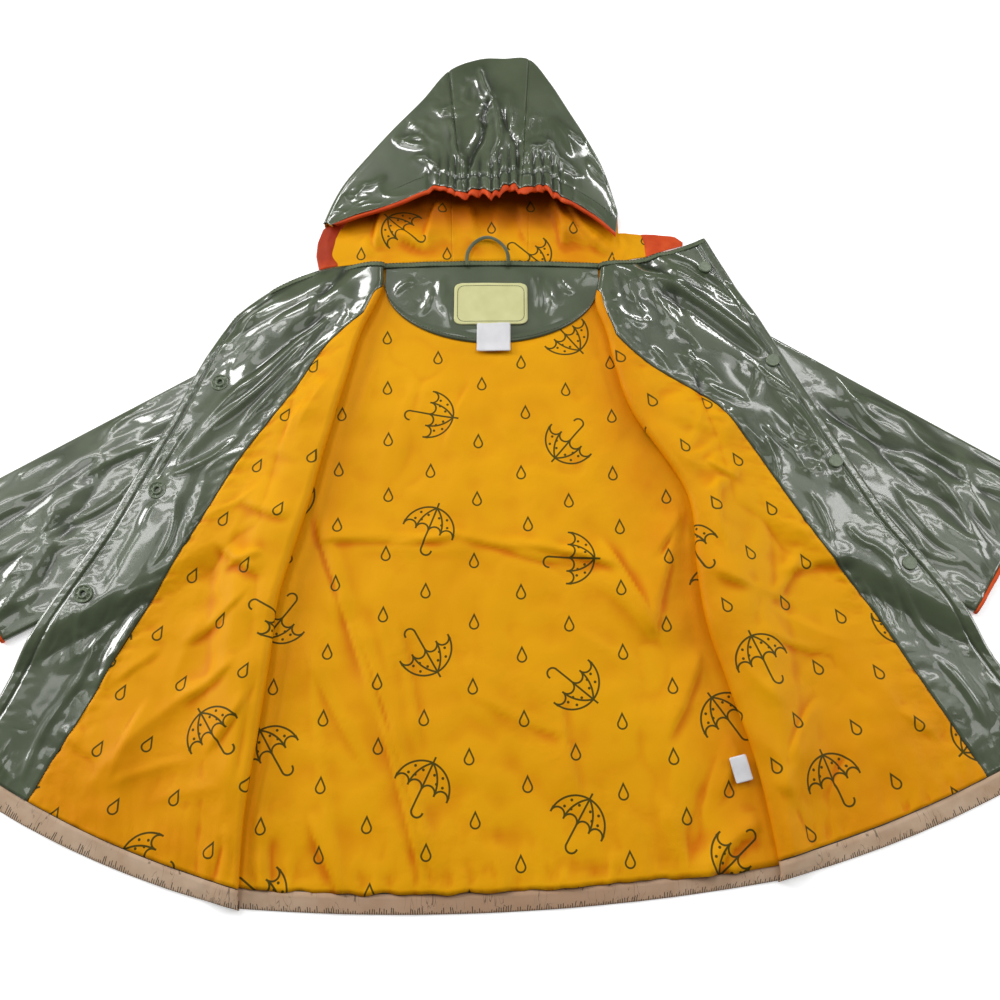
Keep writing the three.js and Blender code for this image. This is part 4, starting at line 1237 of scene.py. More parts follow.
def hem_band(name, point, across, node):
    """A band from its upper edge to the folded hem. point(down, across) gives a place, down 0 to 1."""
    down = np.linspace(0, 1, 8)[:, None]
    places = point(down, across[None, :])
    ends = np.diff(places[-1], axis=0)
    measured = np.concatenate([[0], np.cumsum(np.linalg.norm(ends, axis=1))])
    grain = np.stack(np.broadcast_arrays(measured[None, :], (1 - down) * BAND_WIDTH), axis=-1)
    turned, grain = turned_edge(places.swapaxes(0, 1), grain.swapaxes(0, 1), 1.0)
    band = sheet_of(name, turned, grain, HEM_CLOTH, thick=0.5)
    attach(band, "hem_cloth", node)
    flat, area = cut_of(turned)


def back_band_point(down, across):
    flat_place = back_plan(BAND + BAND_GAP + (HEM - BAND - BAND_GAP) * down, across)
    x, y = flat_place[..., 0], flat_place[..., 1]
    ripple = 0.5 * waved(x, y, 18, 31.0)
    return np.concatenate([flat_place, (LINING_TOP - 0.7 + ripple * 0.5)[..., None]], axis=2)


hem_band(
    "hem_band_back_cloth", back_band_point, np.linspace(0, 1, 150), "hem_band_back"
)
for front in FRONTS:

    def front_band_point(down, share, front=front):
        at = BAND + BAND_GAP + (HEM - BAND - BAND_GAP) * down
        row = plan_row(front, at)
        s = side_seam(row) + (row.length - side_seam(row)) * share
        places = front_point(front, at, s, MIDDLE - 0.1)
        x, y = places[..., 0], places[..., 1]
        places[..., 2] += 0.35 * waved(x, y, 18, 33.0) * smooth(s, row.centre, row.centre + 10)
        return places

    hem_band(
        f"hem_band_{front.side}_cloth", front_band_point, np.linspace(0, 1, 130),
        f"hem_band_{front.side}",
    )


# The sleeves: open tubes of the coated cloth, laid flat beside the body and partly under the fronts,
# with long folds and hard crinkles. A narrow red-orange binding finishes each cuff.
SLEEVE_RELIEF = {
    "right": (
        table_of(FOLD, [
            (-280, 85, -450, -40, 2.2, 12),
            (-330, 20, -430, -75, 2.0, 10),
            (-345, -20, -400, -100, 1.8, 9),
        ]),
        table_of(CREASE, [
            (-300, 86, -328, 48, 3, 1.5, 2.4),
            (-265, 54, -349, 12, 5, 1.9, 3),
            (-303, 10, -348, -21, -4, 1.6, 2.6),
            (-368, -42, -388, -72, 3, 1.4, 2.4),
            (-360, 35, -394, 14, 4, 1.5, 2.6),
            (-330, 44, -331, 12, -3, 1.2, 2.2),
            (-360, -17, -395, -54, -5, 1.6, 2.6),
            (-330, 2, -362, -88, 6, -1.4, 5),
            (-376, -75, -391, -104, 2, 1.3, 2.2),
            (-285, 26, -310, -4, 3, 1.3, 2.4),
            (-400, 20, -440, -20, 4, 1.5, 3),
            (-410, -20, -425, -70, -4, 1.4, 2.6),
        ]),
    ),
    "left": (
        table_of(FOLD, [
            (265, 105, 440, -10, 2.2, 12),
            (315, 45, 425, -35, 2.0, 10),
            (330, 5, 395, -75, 1.8, 9),
        ]),
        table_of(CREASE, [
            (286, 108, 318, 58, 3, 1.4, 3),
            (292, 90, 358, 49, -6, 1.9, 3),
            (304, 53, 345, 14, 4, -1.8, 5),
            (333, 72, 380, 22, 5, 1.5, 2.4),
            (350, 26, 383, -54, -6, 1.7, 2.6),
            (323, 9, 360, -46, 5, 1.4, 2.6),
            (377, 44, 401, -38, 6, 1.5, 2.6),
            (360, -67, 385, -87, 2, 1.2, 2),
            (306, 0, 343, -54, -4, 1.3, 2.4),
            (352, -17, 389, -42, 3, 1.3, 2.2),
            (250, 89, 275, 49, 3, -1.4, 5),
            (329, -38, 367, -54, 3, 1.2, 2.2),
            (395, 30, 430, 0, 3, 1.3, 2.4),
            (268, 84, 330, 40, 5, -2.0, 4),
        ]),
    ),
}


def red_orange_cloth():
    """Smooth woven cloth of the bindings and the hood's facing, darker in the hood's shade."""
    finish = Finish("red_orange_cloth", {"Roughness": 0.55, "Specular IOR Level": 0.2})
    place = finish.place()
    tone = finish.cloudy(place, 12, 2)
    dye = finish.between(tone.share(0.3, 0.7), (0.56, 0.05, 0.006), (0.68, 0.085, 0.012))
    x, y = finish.spot()
    under_hood = (-x).share(124, 150) * y.share(214, 226) * 0.8
    finish.colour(finish.between(under_hood, dye, (0.3, 0.022, 0.004)))
    finish.relief(finish.cloudy(place, 1.4, 2) * 0.5 + tone, 0.3)
    return finish


RED = red_orange_cloth()
CUFF_BINDING = 3.2


def beyond_front(front, x, y):
    """How far a place is outside the front's edge, across the coat."""
    order = np.argsort(front.rows["edge_y"])
    edge_x = np.interp(y, front.rows["edge_y"][order], front.rows["edge_x"][order])
    return (x - edge_x) * np.sign(front.cuff[0][0])


def sleeve_point(front, along, over, turn, offset):
    """A place on a sleeve's wall. turn goes from 0 on the lower wall to 180 degrees on the upper one,
    round the edge at over 1, and back round the edge at over 0."""
    top = sleeve_plan(front, along, 0 * over)
    low = sleeve_plan(front, along, 0 * over + 1)
    across = low - top
    across = across / np.linalg.norm(across, axis=-1, keepdims=True)
    radius = (LEG_MIDDLE + 0.15 + CUFF_RISE * np.clip(along, 0, 1)) / 2 + 0 * over
    width = np.linalg.norm(low - top, axis=-1)
    inset = radius * (np.exp(-over * width / 3) - np.exp(-(1 - over) * width / 3))
    place = sleeve_plan(front, along, over) + across * inset[..., None]
    angle = np.radians(turn)
    side = np.where(over > 0.5, 1, -1)
    reach = side * np.sin(angle) * (radius + offset)
    place = place + across * reach[..., None]
    folds, creases = SLEEVE_RELIEF[front.side]
    x, y = place[..., 0], place[..., 1]
    inner = smooth(over, 0, 0.2) * (1 - smooth(over, 0.8, 1)) * smooth(turn, 150, 180)
    near = smooth(over, 0.0, 0.07) * (1 - smooth(over, 0.93, 1)) * smooth(turn, 120, 180)
    clear = smooth(beyond_front(front, x, y), -8, 6)
    inner = inner * clear
    near = near * clear
    down = cuff_middle(front) - sleeve_plan(front, 0, 0.5)
    down = down / np.linalg.norm(down)
    drawn = (x * down[0] + y * down[1]) * 0.5
    beside = x * down[1] - y * down[0]
    where = smooth(waved(x, y, 66, front.seed + 80), -0.3, 0.4)
    stiff = 1.1 * crumple(beside, drawn, 26, front.seed + 60, 1.8)
    stiff = stiff + 0.45 * crumple(beside, drawn, 12, front.seed + 70, 1.6)
    stiff = stiff * where + 0.9 * waved(beside, drawn, 38, front.seed + 85)
    lift = ridges(folds, x, y) * inner + (creased(creases, x, y) + stiff) * near
    height = radius + 0.5 + lift - np.cos(angle) * (radius + offset)
    return np.concatenate([place, height[..., None]], axis=-1)


def sleeve_ring(low_count, top_count, edge_count):
    """Over and turn once round a sleeve, from the middle of its lower wall."""
    edge = np.linspace(0, 180, edge_count + 2)[1:-1]
    over = [np.linspace(0.5, 1, low_count), np.ones(edge_count), np.linspace(1, 0, top_count)]
    over += [np.zeros(edge_count), np.linspace(0, 0.5, low_count)]
    turn = [np.zeros(low_count), edge, np.full(top_count, 180.0), edge[::-1], np.zeros(low_count)]
    return np.concatenate(over)[None, :], np.concatenate(turn)[None, :]


def measured_grain(places):
    """Each place's distance across and along the cloth, measured on its grid."""
    across = np.linalg.norm(np.diff(places, axis=1), axis=2)
    down = np.linalg.norm(np.diff(places, axis=0), axis=2)
    u = np.concatenate([np.zeros((len(places), 1)), np.cumsum(across, axis=1)], axis=1)
    v = np.concatenate([np.zeros((1, places.shape[1])), np.cumsum(down, axis=0)], axis=0)
    return np.stack([u, v], axis=-1)


for front in FRONTS:
    ring = sleeve_ring(10, 62, 9)
    along, over, turn = np.broadcast_arrays(np.linspace(0, 1, 84)[:, None], *ring)
    places = sleeve_point(front, along, over, turn, 0.45)
    places[..., 2] = np.maximum(places[..., 2], ON_TABLE)
    sleeve = sheet_of(
        f"sleeve_{front.side}_cloth", places, measured_grain(places), COATED, thick=0.5, merge=True
    )
    attach(sleeve, "coated_cloth", f"sleeve_{front.side}")
    flat, area = cut_of(places)

    # The cuff's binding wraps the sleeve's end, inside and out
    long = float(np.linalg.norm(sleeve_plan(front, 0, 0) - sleeve_plan(front, 1, 0)))
    beyond = np.array([-0.8, 0, 0.3, 1.2, 2.4, CUFF_BINDING + 0.1, CUFF_BINDING + 0.3])[:, None]
    proud = np.array([0.5, 0.85, 1.0, 1.1, 1.05, 0.8, 0.2])[:, None]
    along, over, turn, proud = np.broadcast_arrays(1 + beyond / long, *ring, proud)
    places = sleeve_point(front, along, over, turn, proud)
    places[..., 2] = np.maximum(places[..., 2], 0.02)
    binding = sheet_of(
        f"cuff_{front.side}_binding", places, measured_grain(places), RED, thick=0.9, merge=True
    )
    attach(binding, "binding", f"cuff_binding_{front.side}")


# The back neck facing: a half moon of the coated cloth over the lining, under the neck seam. The
# flattened neck pulls it into short upright crinkles.
def neck_seam():
    """Places along the neck edge: the right front's lower leg, the back and the left front's."""
    right = plan_row(right_front, np.zeros(1))
    left = plan_row(left_front, np.zeros(1))
    ends = [np.linspace(64, right.seam[0], 9), np.linspace(left.seam[0], 80, 9)]
    fronts = [np.stack(plan_point(row, along), axis=-1) for row, along in zip((right, left), ends)]
    middle = back_plan(np.zeros(9), np.linspace(0.1, 0.9, 9))
    return np.concatenate([fronts[0], middle, fronts[1]])


NECK_SEAM = neck_seam()


def neck_y(x):
    return np.interp(x, NECK_SEAM[:, 0], NECK_SEAM[:, 1])


FACING_TOP = LINING_TOP + LAYER
LABEL_X = -8
LABEL_Y = 180
NECK_CREASES = table_of(CREASE, [
    (-52, 206, -48, 170, 2, 1.3, 2),
    (-60, 196, -70, 170, -2, 1.1, 2),
    (-44, 190, -44, 160, 1, 1.0, 1.8),
    (28, 212, 34, 176, -2, 1.3, 2),
    (38, 206, 48, 178, 2, 1.2, 2),
    (44, 200, 42, 170, -1, 1.0, 1.8),
    (20, 200, 24, 160, 2, 0.9, 2),
    (52, 206, 64, 192, 2, 1.2, 2.2),
    (-76, 204, -92, 190, 2, 1.2, 2.2),
    (-30, 156, 10, 152, -2, 0.8, 2.4),
])


def neck_facing_point(down, turn, lift):
    """A place on the half moon. down goes from the neck, 0, to its round edge, 1, and turn along it.
    It lies flat under the label."""
    x = NECK_MIDDLE - NECK_HALF * np.cos(turn)
    low = NECK_LEVEL - NECK_DEPTH * np.sin(turn)
    y = neck_y(x) + (low - neck_y(x)) * down
    label = np.maximum(abs(x - LABEL_X) - 34, abs(y - LABEL_Y) - 24)
    free = smooth(label, -4, 6) * smooth(down, 0.02, 0.15) * (1 - smooth(down, 0.9, 0.98))
    stiff = 0.4 * waved(x, y, 26, 41.0) + creased(NECK_CREASES, x, y)
    hem = 0.5 * smooth(down, 0.9, 0.93) * (1 - smooth(down, 0.985, 1)) - 0.9 * smooth(down, 0.985, 1)
    return np.stack(np.broadcast_arrays(x, y, lift + stiff * free + hem * 0.6), axis=-1)


facing_down = np.linspace(0, 1, 40)[:, None]
facing_turn = np.linspace(0, math.pi, 110)[None, :]
places = neck_facing_point(facing_down, facing_turn, FACING_TOP)
neck_facing = sheet_of("neck_facing_cloth", places, flat_grain(places), COATED, thick=0.5)
attach(neck_facing, "coated_cloth", "neck_facing")
flat, area = cut_of(places)


# The hood: three panels of the coated cloth with three of lining, sewn together at two seams. It
# lies on its back; its upper layer is folded over at the crown and ends in the brim, whose elastic
# casing gathers the middle into pleats. A red-orange binding covers the brim's edge.
# Its columns run from the right edge to the left: the neck seam, the crown, the brim, the brim's
# height and how far it is gathered.
HOOD = table_of("neck_x top_x top_y brim_x brim_y rise gather", [
    (-147, -158, 262, -150, 256, 10, 0),
    (-136, -150, 286, -130, 264, 12, 0),
    (-120, -140, 307, -109, 270, 14, 0),
    (-102, -123, 332, -89, 277, 16, 0),
    (-82, -100, 364, -68, 286, 18, 0),
    (-62, -73, 398, -50, 288, 20, 0.4),
    (-42, -49, 432, -33, 283, 22, 1),
    (-20, -20, 446, -14, 283, 23, 1),
    (3, 4, 447, 3, 284, 23, 1),
    (25, 28, 446, 19, 286, 23, 1),
    (45, 47, 419, 38, 288, 21, 1),
    (63, 64, 386, 56, 280, 19, 0.4),
    (80, 80, 354, 72, 271, 16, 0),
    (94, 95, 318, 88, 261, 13, 0),
    (106, 106, 273, 103, 248, 10, 0),
])
HOOD_ROLL = 3.2
HOOD_LOW = MIDDLE
HOOD_HIGH = HOOD_LOW + 2 * HOOD_ROLL
CASING = 17.0

# The gathered brim's scallops: how far each place along it reaches to the hem
GATHERS = table_of("x reach", [
    (-66, 0), (-58, -5), (-47, -1), (-34, 3.5), (-25, -1), (-16, -3), (-9, 3.5), (-2, 2), (3, -5.5),
    (13, -6.5), (18, 1), (26, 1.5), (33, -1), (40, -4), (48, 0.5), (57, 2.5), (66, 0),
])
HOOD_CREASES = table_of(CREASE, [
    (-20, 436, -6, 388, 2, 3.0, 3.2),
    (-7, 394, -1, 342, -2, 2.8, 3.0),
    (1, 350, -11, 314, -2, 2.6, 3.0),
    (-7, 396, -17, 366, 2, -2.6, 3.4),
    (-14, 376, -20, 340, -2, -3.2, 3.6),
    (-17, 348, -28, 308, 2, -3.2, 3.4),
    (-48, 370, -41, 338, -2, 1.9, 2.6),
    (-43, 346, -28, 310, 3, 2.2, 2.8),
    (-78, 328, -56, 306, -3, 2.0, 2.8),
    (-62, 312, -40, 301, 2, 1.8, 2.6),
    (3, 380, 15, 338, 2, -1.9, 3.2),
    (15, 346, 17, 308, 0, -2.2, 3.0),
    (17, 316, 31, 337, 3, 1.9, 2.8),
    (27, 332, 49, 342, 3, 2.0, 3.2),
    (44, 342, 74, 308, 6, 2.0, 3.6),
    (24, 300, 42, 314, 2, 1.7, 2.6),
    (38, 313, 70, 290, 5, 1.8, 3.0),
    (-62, 385, -30, 378, 3, 1.0, 2.2),
    (-56, 377, -34, 388, -2, 0.9, 2),
    (-99, 354, -66, 340, 4, 1.3, 2.4),
    (-92, 346, -70, 350, -3, 1.0, 2),
    (62, 360, 80, 350, 3, 1.1, 2.2),
    (70, 366, 78, 346, -2, 1.0, 2),
    (80, 326, 99, 303, 3, 1.2, 2.2),
    (8, 400, 6, 340, -3, 1.6, 3.4),
    (-128, 296, -104, 306, 3, 1.0, 3),
    (50, 372, 66, 330, -4, 1.2, 5),
])
HOOD_LINING_PLEATS = table_of(CREASE, [
    (-104, 288, -110, 236, 2, 5.5, 14),
    (-54, 290, -64, 236, 3, 5.5, 15),
    (-94, 256, -56, 232, 3, 3.6, 10),
    (-14, 232, -30, 288, -2, 5.0, 13),
    (44, 294, 57, 236, -3, 6.5, 17),
    (58, 292, 92, 232, 3, 3.8, 11),
    (16, 288, 30, 236, 2, 3.4, 10),
    (-2, 284, -2, 240, 1, 2.4, 7),
])
HOOD_LINING_CREASES = table_of(CREASE, [
    (-100, 262, -66, 240, 5, 1.4, 5),
    (-60, 284, -44, 236, -4, 1.6, 5),
    (-20, 276, -8, 240, 4, 1.2, 5),
    (10, 280, 30, 238, -3, -1.3, 5),
    (44, 284, 58, 232, -6, 1.9, 4),
    (60, 270, 84, 238, 5, 1.5, 4),
    (84, 250, 98, 232, 3, 1.2, 4),
    (-120, 250, -112, 228, 3, 1.1, 4),
    (-82, 250, -30, 228, 3, 1.0, 4),
    (0, 236, 40, 226, 3, 0.9, 4),
])


def gathered(brim_x):
    """How far the brim reaches to the hem at a place along it, smoothly from scallop to scallop."""
    at = np.clip(np.searchsorted(GATHERS["x"], brim_x) - 1, 0, len(GATHERS["x"]) - 2)
    share = smooth(brim_x, GATHERS["x"][at], GATHERS["x"][at + 1])
    return GATHERS["reach"][at] + (GATHERS["reach"][at + 1] - GATHERS["reach"][at]) * share


def hood_point(column, at, offset, beyond=0.0):
    """A place on the hood. at runs from the neck seam, 0, to the crown at 1, round its roll to 2 and
    back over to the brim at 3. beyond goes on past the brim in millimetres."""
    column, at, beyond = np.broadcast_arrays(column, np.asarray(at, float), beyond)
    row = SimpleNamespace(**{key: through(HOOD, key, column) for key in HOOD})
    neck = np.stack([row.neck_x, neck_y(row.neck_x) + 0.5], axis=-1)
    crown = np.stack([row.top_x, row.top_y], axis=-1)
    out = crown - neck
    out = out / np.linalg.norm(out, axis=-1, keepdims=True)
    crown = crown - out * (HOOD_ROLL + MIDDLE)
    wave = gathered(row.brim_x)
    back = np.stack([row.brim_x, row.brim_y], axis=-1) - crown
    length = np.linalg.norm(back, axis=-1)
    back = back / length[..., None]
    t = np.clip(at - 2, 0, 1)
    turned = math.pi * np.clip(at - 1, 0, 1)

    lower = neck + (crown - neck) * np.clip(at, 0, 1)[..., None]
    swing = HOOD_ROLL * np.sin(turned)
    late = at >= 1.5
    rolled = crown + out * np.where(late, HOOD_ROLL, swing)[..., None]
    rolled = rolled + back * np.where(late, HOOD_ROLL - swing, 0)[..., None]

    def lift(t):
        return (row.rise - HOOD_HIGH) * t**1.7 + 0.45 * wave * t**5

    run = HOOD_ROLL + (length - HOOD_ROLL + wave) * t + beyond
    upper = crown + out * (HOOD_ROLL * (1 - t))[..., None] + back * run[..., None]
    slope = (lift(t + 0.005) - lift(np.maximum(t - 0.005, 0))) / (0.01 * length)

    plan = np.where((at <= 1)[..., None], lower, np.where((at <= 2)[..., None], rolled, upper))
    height = HOOD_LOW + HOOD_ROLL * (1 - np.cos(turned)) + np.where(at > 2, lift(t), 0)
    height = height + np.where(at >= 3, slope * beyond, 0)
    heading = np.where(at > 2, math.pi - np.arctan(slope) * smooth(t, 0, 0.02), turned)
    ahead = np.where(late[..., None], -back, out)
    x = plan[..., 0]
    y = plan[..., 1]

    # Creases of the upper layer, then the casing's pleats, which run up from it and fade
    from_brim = (1 - t) * length - beyond
    open_part = smooth(t, 0.0, 0.12) * smooth(from_brim, CASING - 4, CASING + 8)
    pleat_x = x + 2.0 * np.sin(x / 7.3) + 0.9 * np.sin(x / 3.1 + 2)
    pleats = 2.2 * np.abs(np.sin(math.pi * pleat_x / 9.4)) ** 0.8 - 1.2
    in_casing = 1 - smooth(from_brim, CASING - 3, CASING + 3)
    above = smooth(from_brim, CASING, CASING + 5) * (1 - smooth(from_brim, CASING + 8, CASING + 38))
    ruffled = np.minimum(row.gather, 1) * pleats * (1.9 * in_casing + 1.5 * above)
    stitch = -1.5 * row.gather * np.exp(-(((from_brim - CASING) / 2.2) ** 2)) * smooth(t, 0.3, 0.6)
    upper_relief = 1.7 * creased(HOOD_CREASES, x, y) * open_part + ruffled + stitch
    lining_folds = 1.6 * creased(HOOD_LINING_CREASES, x, y) + pleated(HOOD_LINING_PLEATS, x, y)
    lower_relief = lining_folds * smooth(at, 0.03, 0.2) * (1 - smooth(at, 0.6, 0.95))
    height = height + np.where(at > 2, upper_relief, np.where(at < 1, lower_relief, 0))
    x = x - ahead[..., 0] * np.sin(heading) * offset
    y = y - ahead[..., 1] * np.sin(heading) * offset
    return np.stack([x, y, height + np.cos(heading) * offset], axis=-1)


def hood_crinkle(places, at):
    """The stiff film's crinkles on the hood's upper layer."""
    x, y = places[..., 0], places[..., 1]
    where = smooth(waved(x, y, 50, 81.0), 0.0, 0.6)
    stiff = 0.9 * crumple(x, y, 26, 61.0, 2.2) + 0.4 * crumple(x, y, 12, 71.0, 2.0)
    return (stiff * where + 0.6 * waved(x, y, 48, 83.0)) * smooth(at, 2.02, 2.15)


lower_at = np.linspace(0, 1, 46)[:-1]
roll_at = np.linspace(1, 2, 14)[:-1]
upper_at = 2 + np.linspace(0, 1, 62)
hood_at = np.concatenate([lower_at, roll_at, upper_at])[None, :]
HOOD_PANELS = {
    "hood_side_right": ("hood_lining_right", 0, 6),
    "hood_centre": ("hood_lining_centre", 6, 9),
    "hood_side_left": ("hood_lining_left", 9, 14),
}
for panel, (lining_node, first, last) in HOOD_PANELS.items():
    count = round((last - first) * 16)
    column = np.linspace(first, last, count)[:, None]
    seam = np.exp(-((column - 6) / 0.035) ** 2) + np.exp(-((column - 9) / 0.035) ** 2)
    places = hood_point(column, hood_at, -MIDDLE + 0.4 * seam)
    places[..., 2] += hood_crinkle(places, hood_at)
    places[..., 2] = np.maximum(places[..., 2], ON_TABLE)
    shell = sheet_of(f"{panel}_cloth", places, measured_grain(places), COATED, thick=0.5)
    attach(shell, "coated_cloth", panel)
    flat, area = cut_of(places)

    places = hood_point(column, hood_at, MIDDLE)
    x, y = places[..., 0], places[..., 1]
    slack = 0.6 * waved(x, y, 36, 91.0) + 0.3 * waved(x, y, 14, 95.0)
    places[..., 2] += slack * smooth(hood_at, 0.02, 0.15)
    grain = np.stack([x + 30, y + 20], axis=-1)
    grain[..., 1] += np.where(hood_at > 1.5, 320, 0)
    lined = sheet_of(f"{lining_node}_cloth", places, grain, LINING, thick=0.3)
    attach(lined, "lining_cloth", lining_node)
    flat, area = cut_of(places)

# The brim's binding, a soft tube round the edge, fuller where the brim is gathered
brim_columns = np.linspace(0, 14, 330)[:, None]
around = np.linspace(0, 2 * math.pi, 15)[None, :]
brim_row = SimpleNamespace(**{key: through(HOOD, key, brim_columns) for key in HOOD})
broad = 2.0 + np.minimum(brim_row.gather, 1) * (1.5 + 0.8 * np.sin(brim_columns * 9.7))
reach = broad - 0.1 - broad * np.cos(around)
proud = 1.75 * np.sin(around)
places = hood_point(brim_columns, 3.0 + 0 * around, proud, reach)
binding = mesh_of(
    "hood_brim_binding", places.reshape(-1, 3), grid_faces(*places.shape[:2], False), RED,
    measured_grain(places).reshape(-1, 2), merge=True,
)
attach(binding, "binding", "hood_binding")


# The hood edge's facing, where its two ends lie beside the hood: red-orange cloth at the right, and
# at the left a narrow stretch of lining with the red-orange facing outside it.
def strip_point(rows, across):
    """Places on a strip between two edges. rows give each height's inner and outer edge."""
    inner = np.array([row[0] for row in rows], float)
    outer = np.array([row[1] for row in rows], float)
    fine = np.linspace(0, len(rows) - 1, 26)
    known = np.arange(len(rows))
    edges = []
    for edge in (inner, outer):
        edges.append(np.stack([np.interp(fine, known, edge[:, k]) for k in (0, 1)], axis=-1))
    return edges[0][:, None] + (edges[1] - edges[0])[:, None] * across[None, :, None]


def flat_strip(name, rows, height, finish, slot, node, seed, swell):
    """A strip that lies flat, rounded at both edges and swollen unevenly between them."""
    plan = strip_point(rows, np.linspace(0, 1, 22))
    x, y = plan[..., 0], plan[..., 1]
    rounded = np.sin(np.linspace(0, math.pi, 22))[None, :] ** 0.6
    lift = height - 1.2 + 1.2 * rounded + swell * (crumple(x, y * 0.5, 11, seed) - 0.3) * rounded
    places = np.concatenate([plan, lift[..., None]], axis=2)
    made = sheet_of(name, places, flat_grain(places), finish, thick=0.4)
    attach(made, slot, node)
    flat, area = cut_of(places)


def on_neck(x):
    return (x, float(neck_y(x)) + 0.5)


flat_strip(
    "hood_end_right_facing",
    [(on_neck(-143), on_neck(-160)), ((-145, 232), (-163.5, 229)), ((-146, 246), (-163, 243)),
     ((-143, 257), (-159, 257)), ((-138, 264), (-151, 264))],
    3.4, RED, "binding", "hood_facing_right", 101.0, 1.0,
)
flat_strip(
    "hood_end_left_lining",
    [(on_neck(99), on_neck(131)), ((99, 238), (130, 240.6)), ((101, 253), (127, 251.4))],
    3.3, LINING, "lining_cloth", "hood_facing_left", 103.0, 0.8,
)
flat_strip(
    "hood_end_left_facing",
    [(on_neck(129.5), on_neck(163)), ((129, 240.6), (163.5, 243.5)), ((126.5, 251.6), (157, 249))],
    3.6, RED, "binding", "hood_facing_left", 105.0, 0.7,
)


# The neck tape: olive ribbed tape that covers the hood's seam round the neck, stitched down along
# both of its edges. The hanger loop is a narrow strap of the same tape, caught under it.
def ribbed_tape():
    finish = Finish("olive_tape", {"Roughness": 0.72, "Specular IOR Level": 0.3, "Sheen Weight": 0.2})
    across, along = finish.grain()
    tone = finish.cloudy(finish.place(), 9, 2)
    finish.colour(finish.between(tone.share(0.3, 0.7), (0.085, 0.11, 0.055), (0.13, 0.16, 0.09)))
    finish.relief((across * 5.2).sum("SINE") * 0.5 + tone * 0.4, 0.22)
    return finish


TAPE = ribbed_tape()
TAPE_WIDTH = 5.0
TAPE_ROW = 0.62


def tape_on(name, places, node):
    measured = np.linalg.norm(np.diff(places[0], axis=0), axis=1)
    u = np.concatenate([[0], np.cumsum(measured)])[None, :]
    v = np.linspace(0, TAPE_WIDTH, len(places))[:, None]
    grain = np.stack(np.broadcast_arrays(u, v), axis=-1)
    made = sheet_of(name, places, grain, TAPE, thick=0.7)
    attach(made, "tape", node)


tape_down = np.linspace(0, 1, 9)[:, None]
tape_round = -0.55 * (2 * tape_down - 1) ** 6
tape_x = np.linspace(-104, 88, 120)[None, :]
tape_z = FACING_TOP + LAYER + tape_round + 0.25 * np.sin(tape_x / 5.7) + 0 * tape_x
places = np.stack(
    np.broadcast_arrays(tape_x, neck_y(tape_x) + 0.6 - TAPE_WIDTH * tape_down, tape_z), axis=-1
)
tape_on("neck_tape_back_cloth", places, "neck_tape_back")


def tape_ends(front, row):
    """A front's tape starts on the roll. On the right front it stops before the soft corner."""
    end = CORNER_START if front.side == "right" else row.length - 0.6
    return row.centre - 0.8 * math.pi * row.roll, end + 0 * row.length


for front in FRONTS:
    at = TAPE_ROW * tape_down
    row = plan_row(front, at)
    start_s, end_s = tape_ends(front, row)
    s = start_s + (end_s - start_s) * np.linspace(0, 1, 110)[None, :]
    places = front_point(front, at, s, MIDDLE + 0.95 + tape_round)
    tape_on(f"neck_tape_{front.side}_cloth", places, f"neck_tape_{front.side}")

# The hanger loop: its middle, half its width, its height and its strap's width
LOOP_X = -11.0
LOOP_HALF = 18.0
LOOP_HEIGHT = 27.0
LOOP_STRAP = 3.2
loop_turn = np.radians(np.linspace(-4, 184, 60))[None, :]
loop_across = np.linspace(-0.5, 0.5, 7)[:, None]
twist = 1.0 * np.sin(loop_turn * 2) * loop_across
reach_x = LOOP_HALF + LOOP_STRAP * loop_across
reach_y = LOOP_HEIGHT + LOOP_STRAP * loop_across
uneven = 1.2 * np.sin(loop_turn * 3)
loop_lift = FACING_TOP + LAYER + 1.9 + twist + 0.5 * (1 - (2 * loop_across) ** 2)
places = np.stack(np.broadcast_arrays(
    LOOP_X - (reach_x + uneven) * np.cos(loop_turn),
    neck_y(LOOP_X) - 3.5 + reach_y * np.sin(loop_turn),
    loop_lift,
), axis=-1)
loop = sheet_of("hanger_loop_strap", places, measured_grain(places), TAPE, thick=1.1)
attach(loop, "tape", "hanger_loop")


# The labels, all bare: a pale yellow woven label with rounded corners and a stitched line inside its
# edge, a white size tag below it, and a small white care tag in the left side seam.
def woven(name, first, second, rough):
    finish = Finish(name, {"Roughness": rough, "Specular IOR Level": 0.35, "Sheen Weight": 0.1})
    across, along = finish.grain()
    tone = finish.cloudy(finish.place(), 14, 2)
    finish.colour(finish.between(tone.share(0.3, 0.7), first, second))
    weave = (across * 9).sum("SINE") * (along * 9).sum("SINE")
    finish.relief(weave * 0.35 + tone, 0.2)
    return finish


LABEL = woven("pale_label", (0.66, 0.65, 0.30), (0.73, 0.72, 0.36), 0.6)
TAG = woven("white_tag", (0.72, 0.72, 0.74), (0.80, 0.80, 0.82), 0.5)


LABEL_WIDTH = 64
LABEL_HEIGHT = 41
LABEL_CORNER = 6
BORDER_INSET = 3


def label_places(x, y, width, height, corner, turn, lift):
    """Places on a label with rounded corners, turned so many degrees, at the height lift gives."""
    down = np.linspace(-0.5, 0.5, 31)[:, None] * height
    over = np.maximum(abs(down) - (height / 2 - corner), 0)
    half_width = width / 2 - (corner - np.sqrt(np.maximum(corner**2 - over**2, 0)))
    across = np.linspace(-1, 1, 37)[None, :] * half_width
    angle = math.radians(turn)
    place_x = x + across * math.cos(angle) - down * math.sin(angle)
    place_y = y + across * math.sin(angle) + down * math.cos(angle)
    edge = np.minimum(half_width - abs(across), height / 2 - abs(down))
    place_z = lift(place_x, place_y) - 0.35 * (1 - smooth(edge, 0, 1.2))
    return np.stack(np.broadcast_arrays(place_x, place_y, place_z), axis=-1)


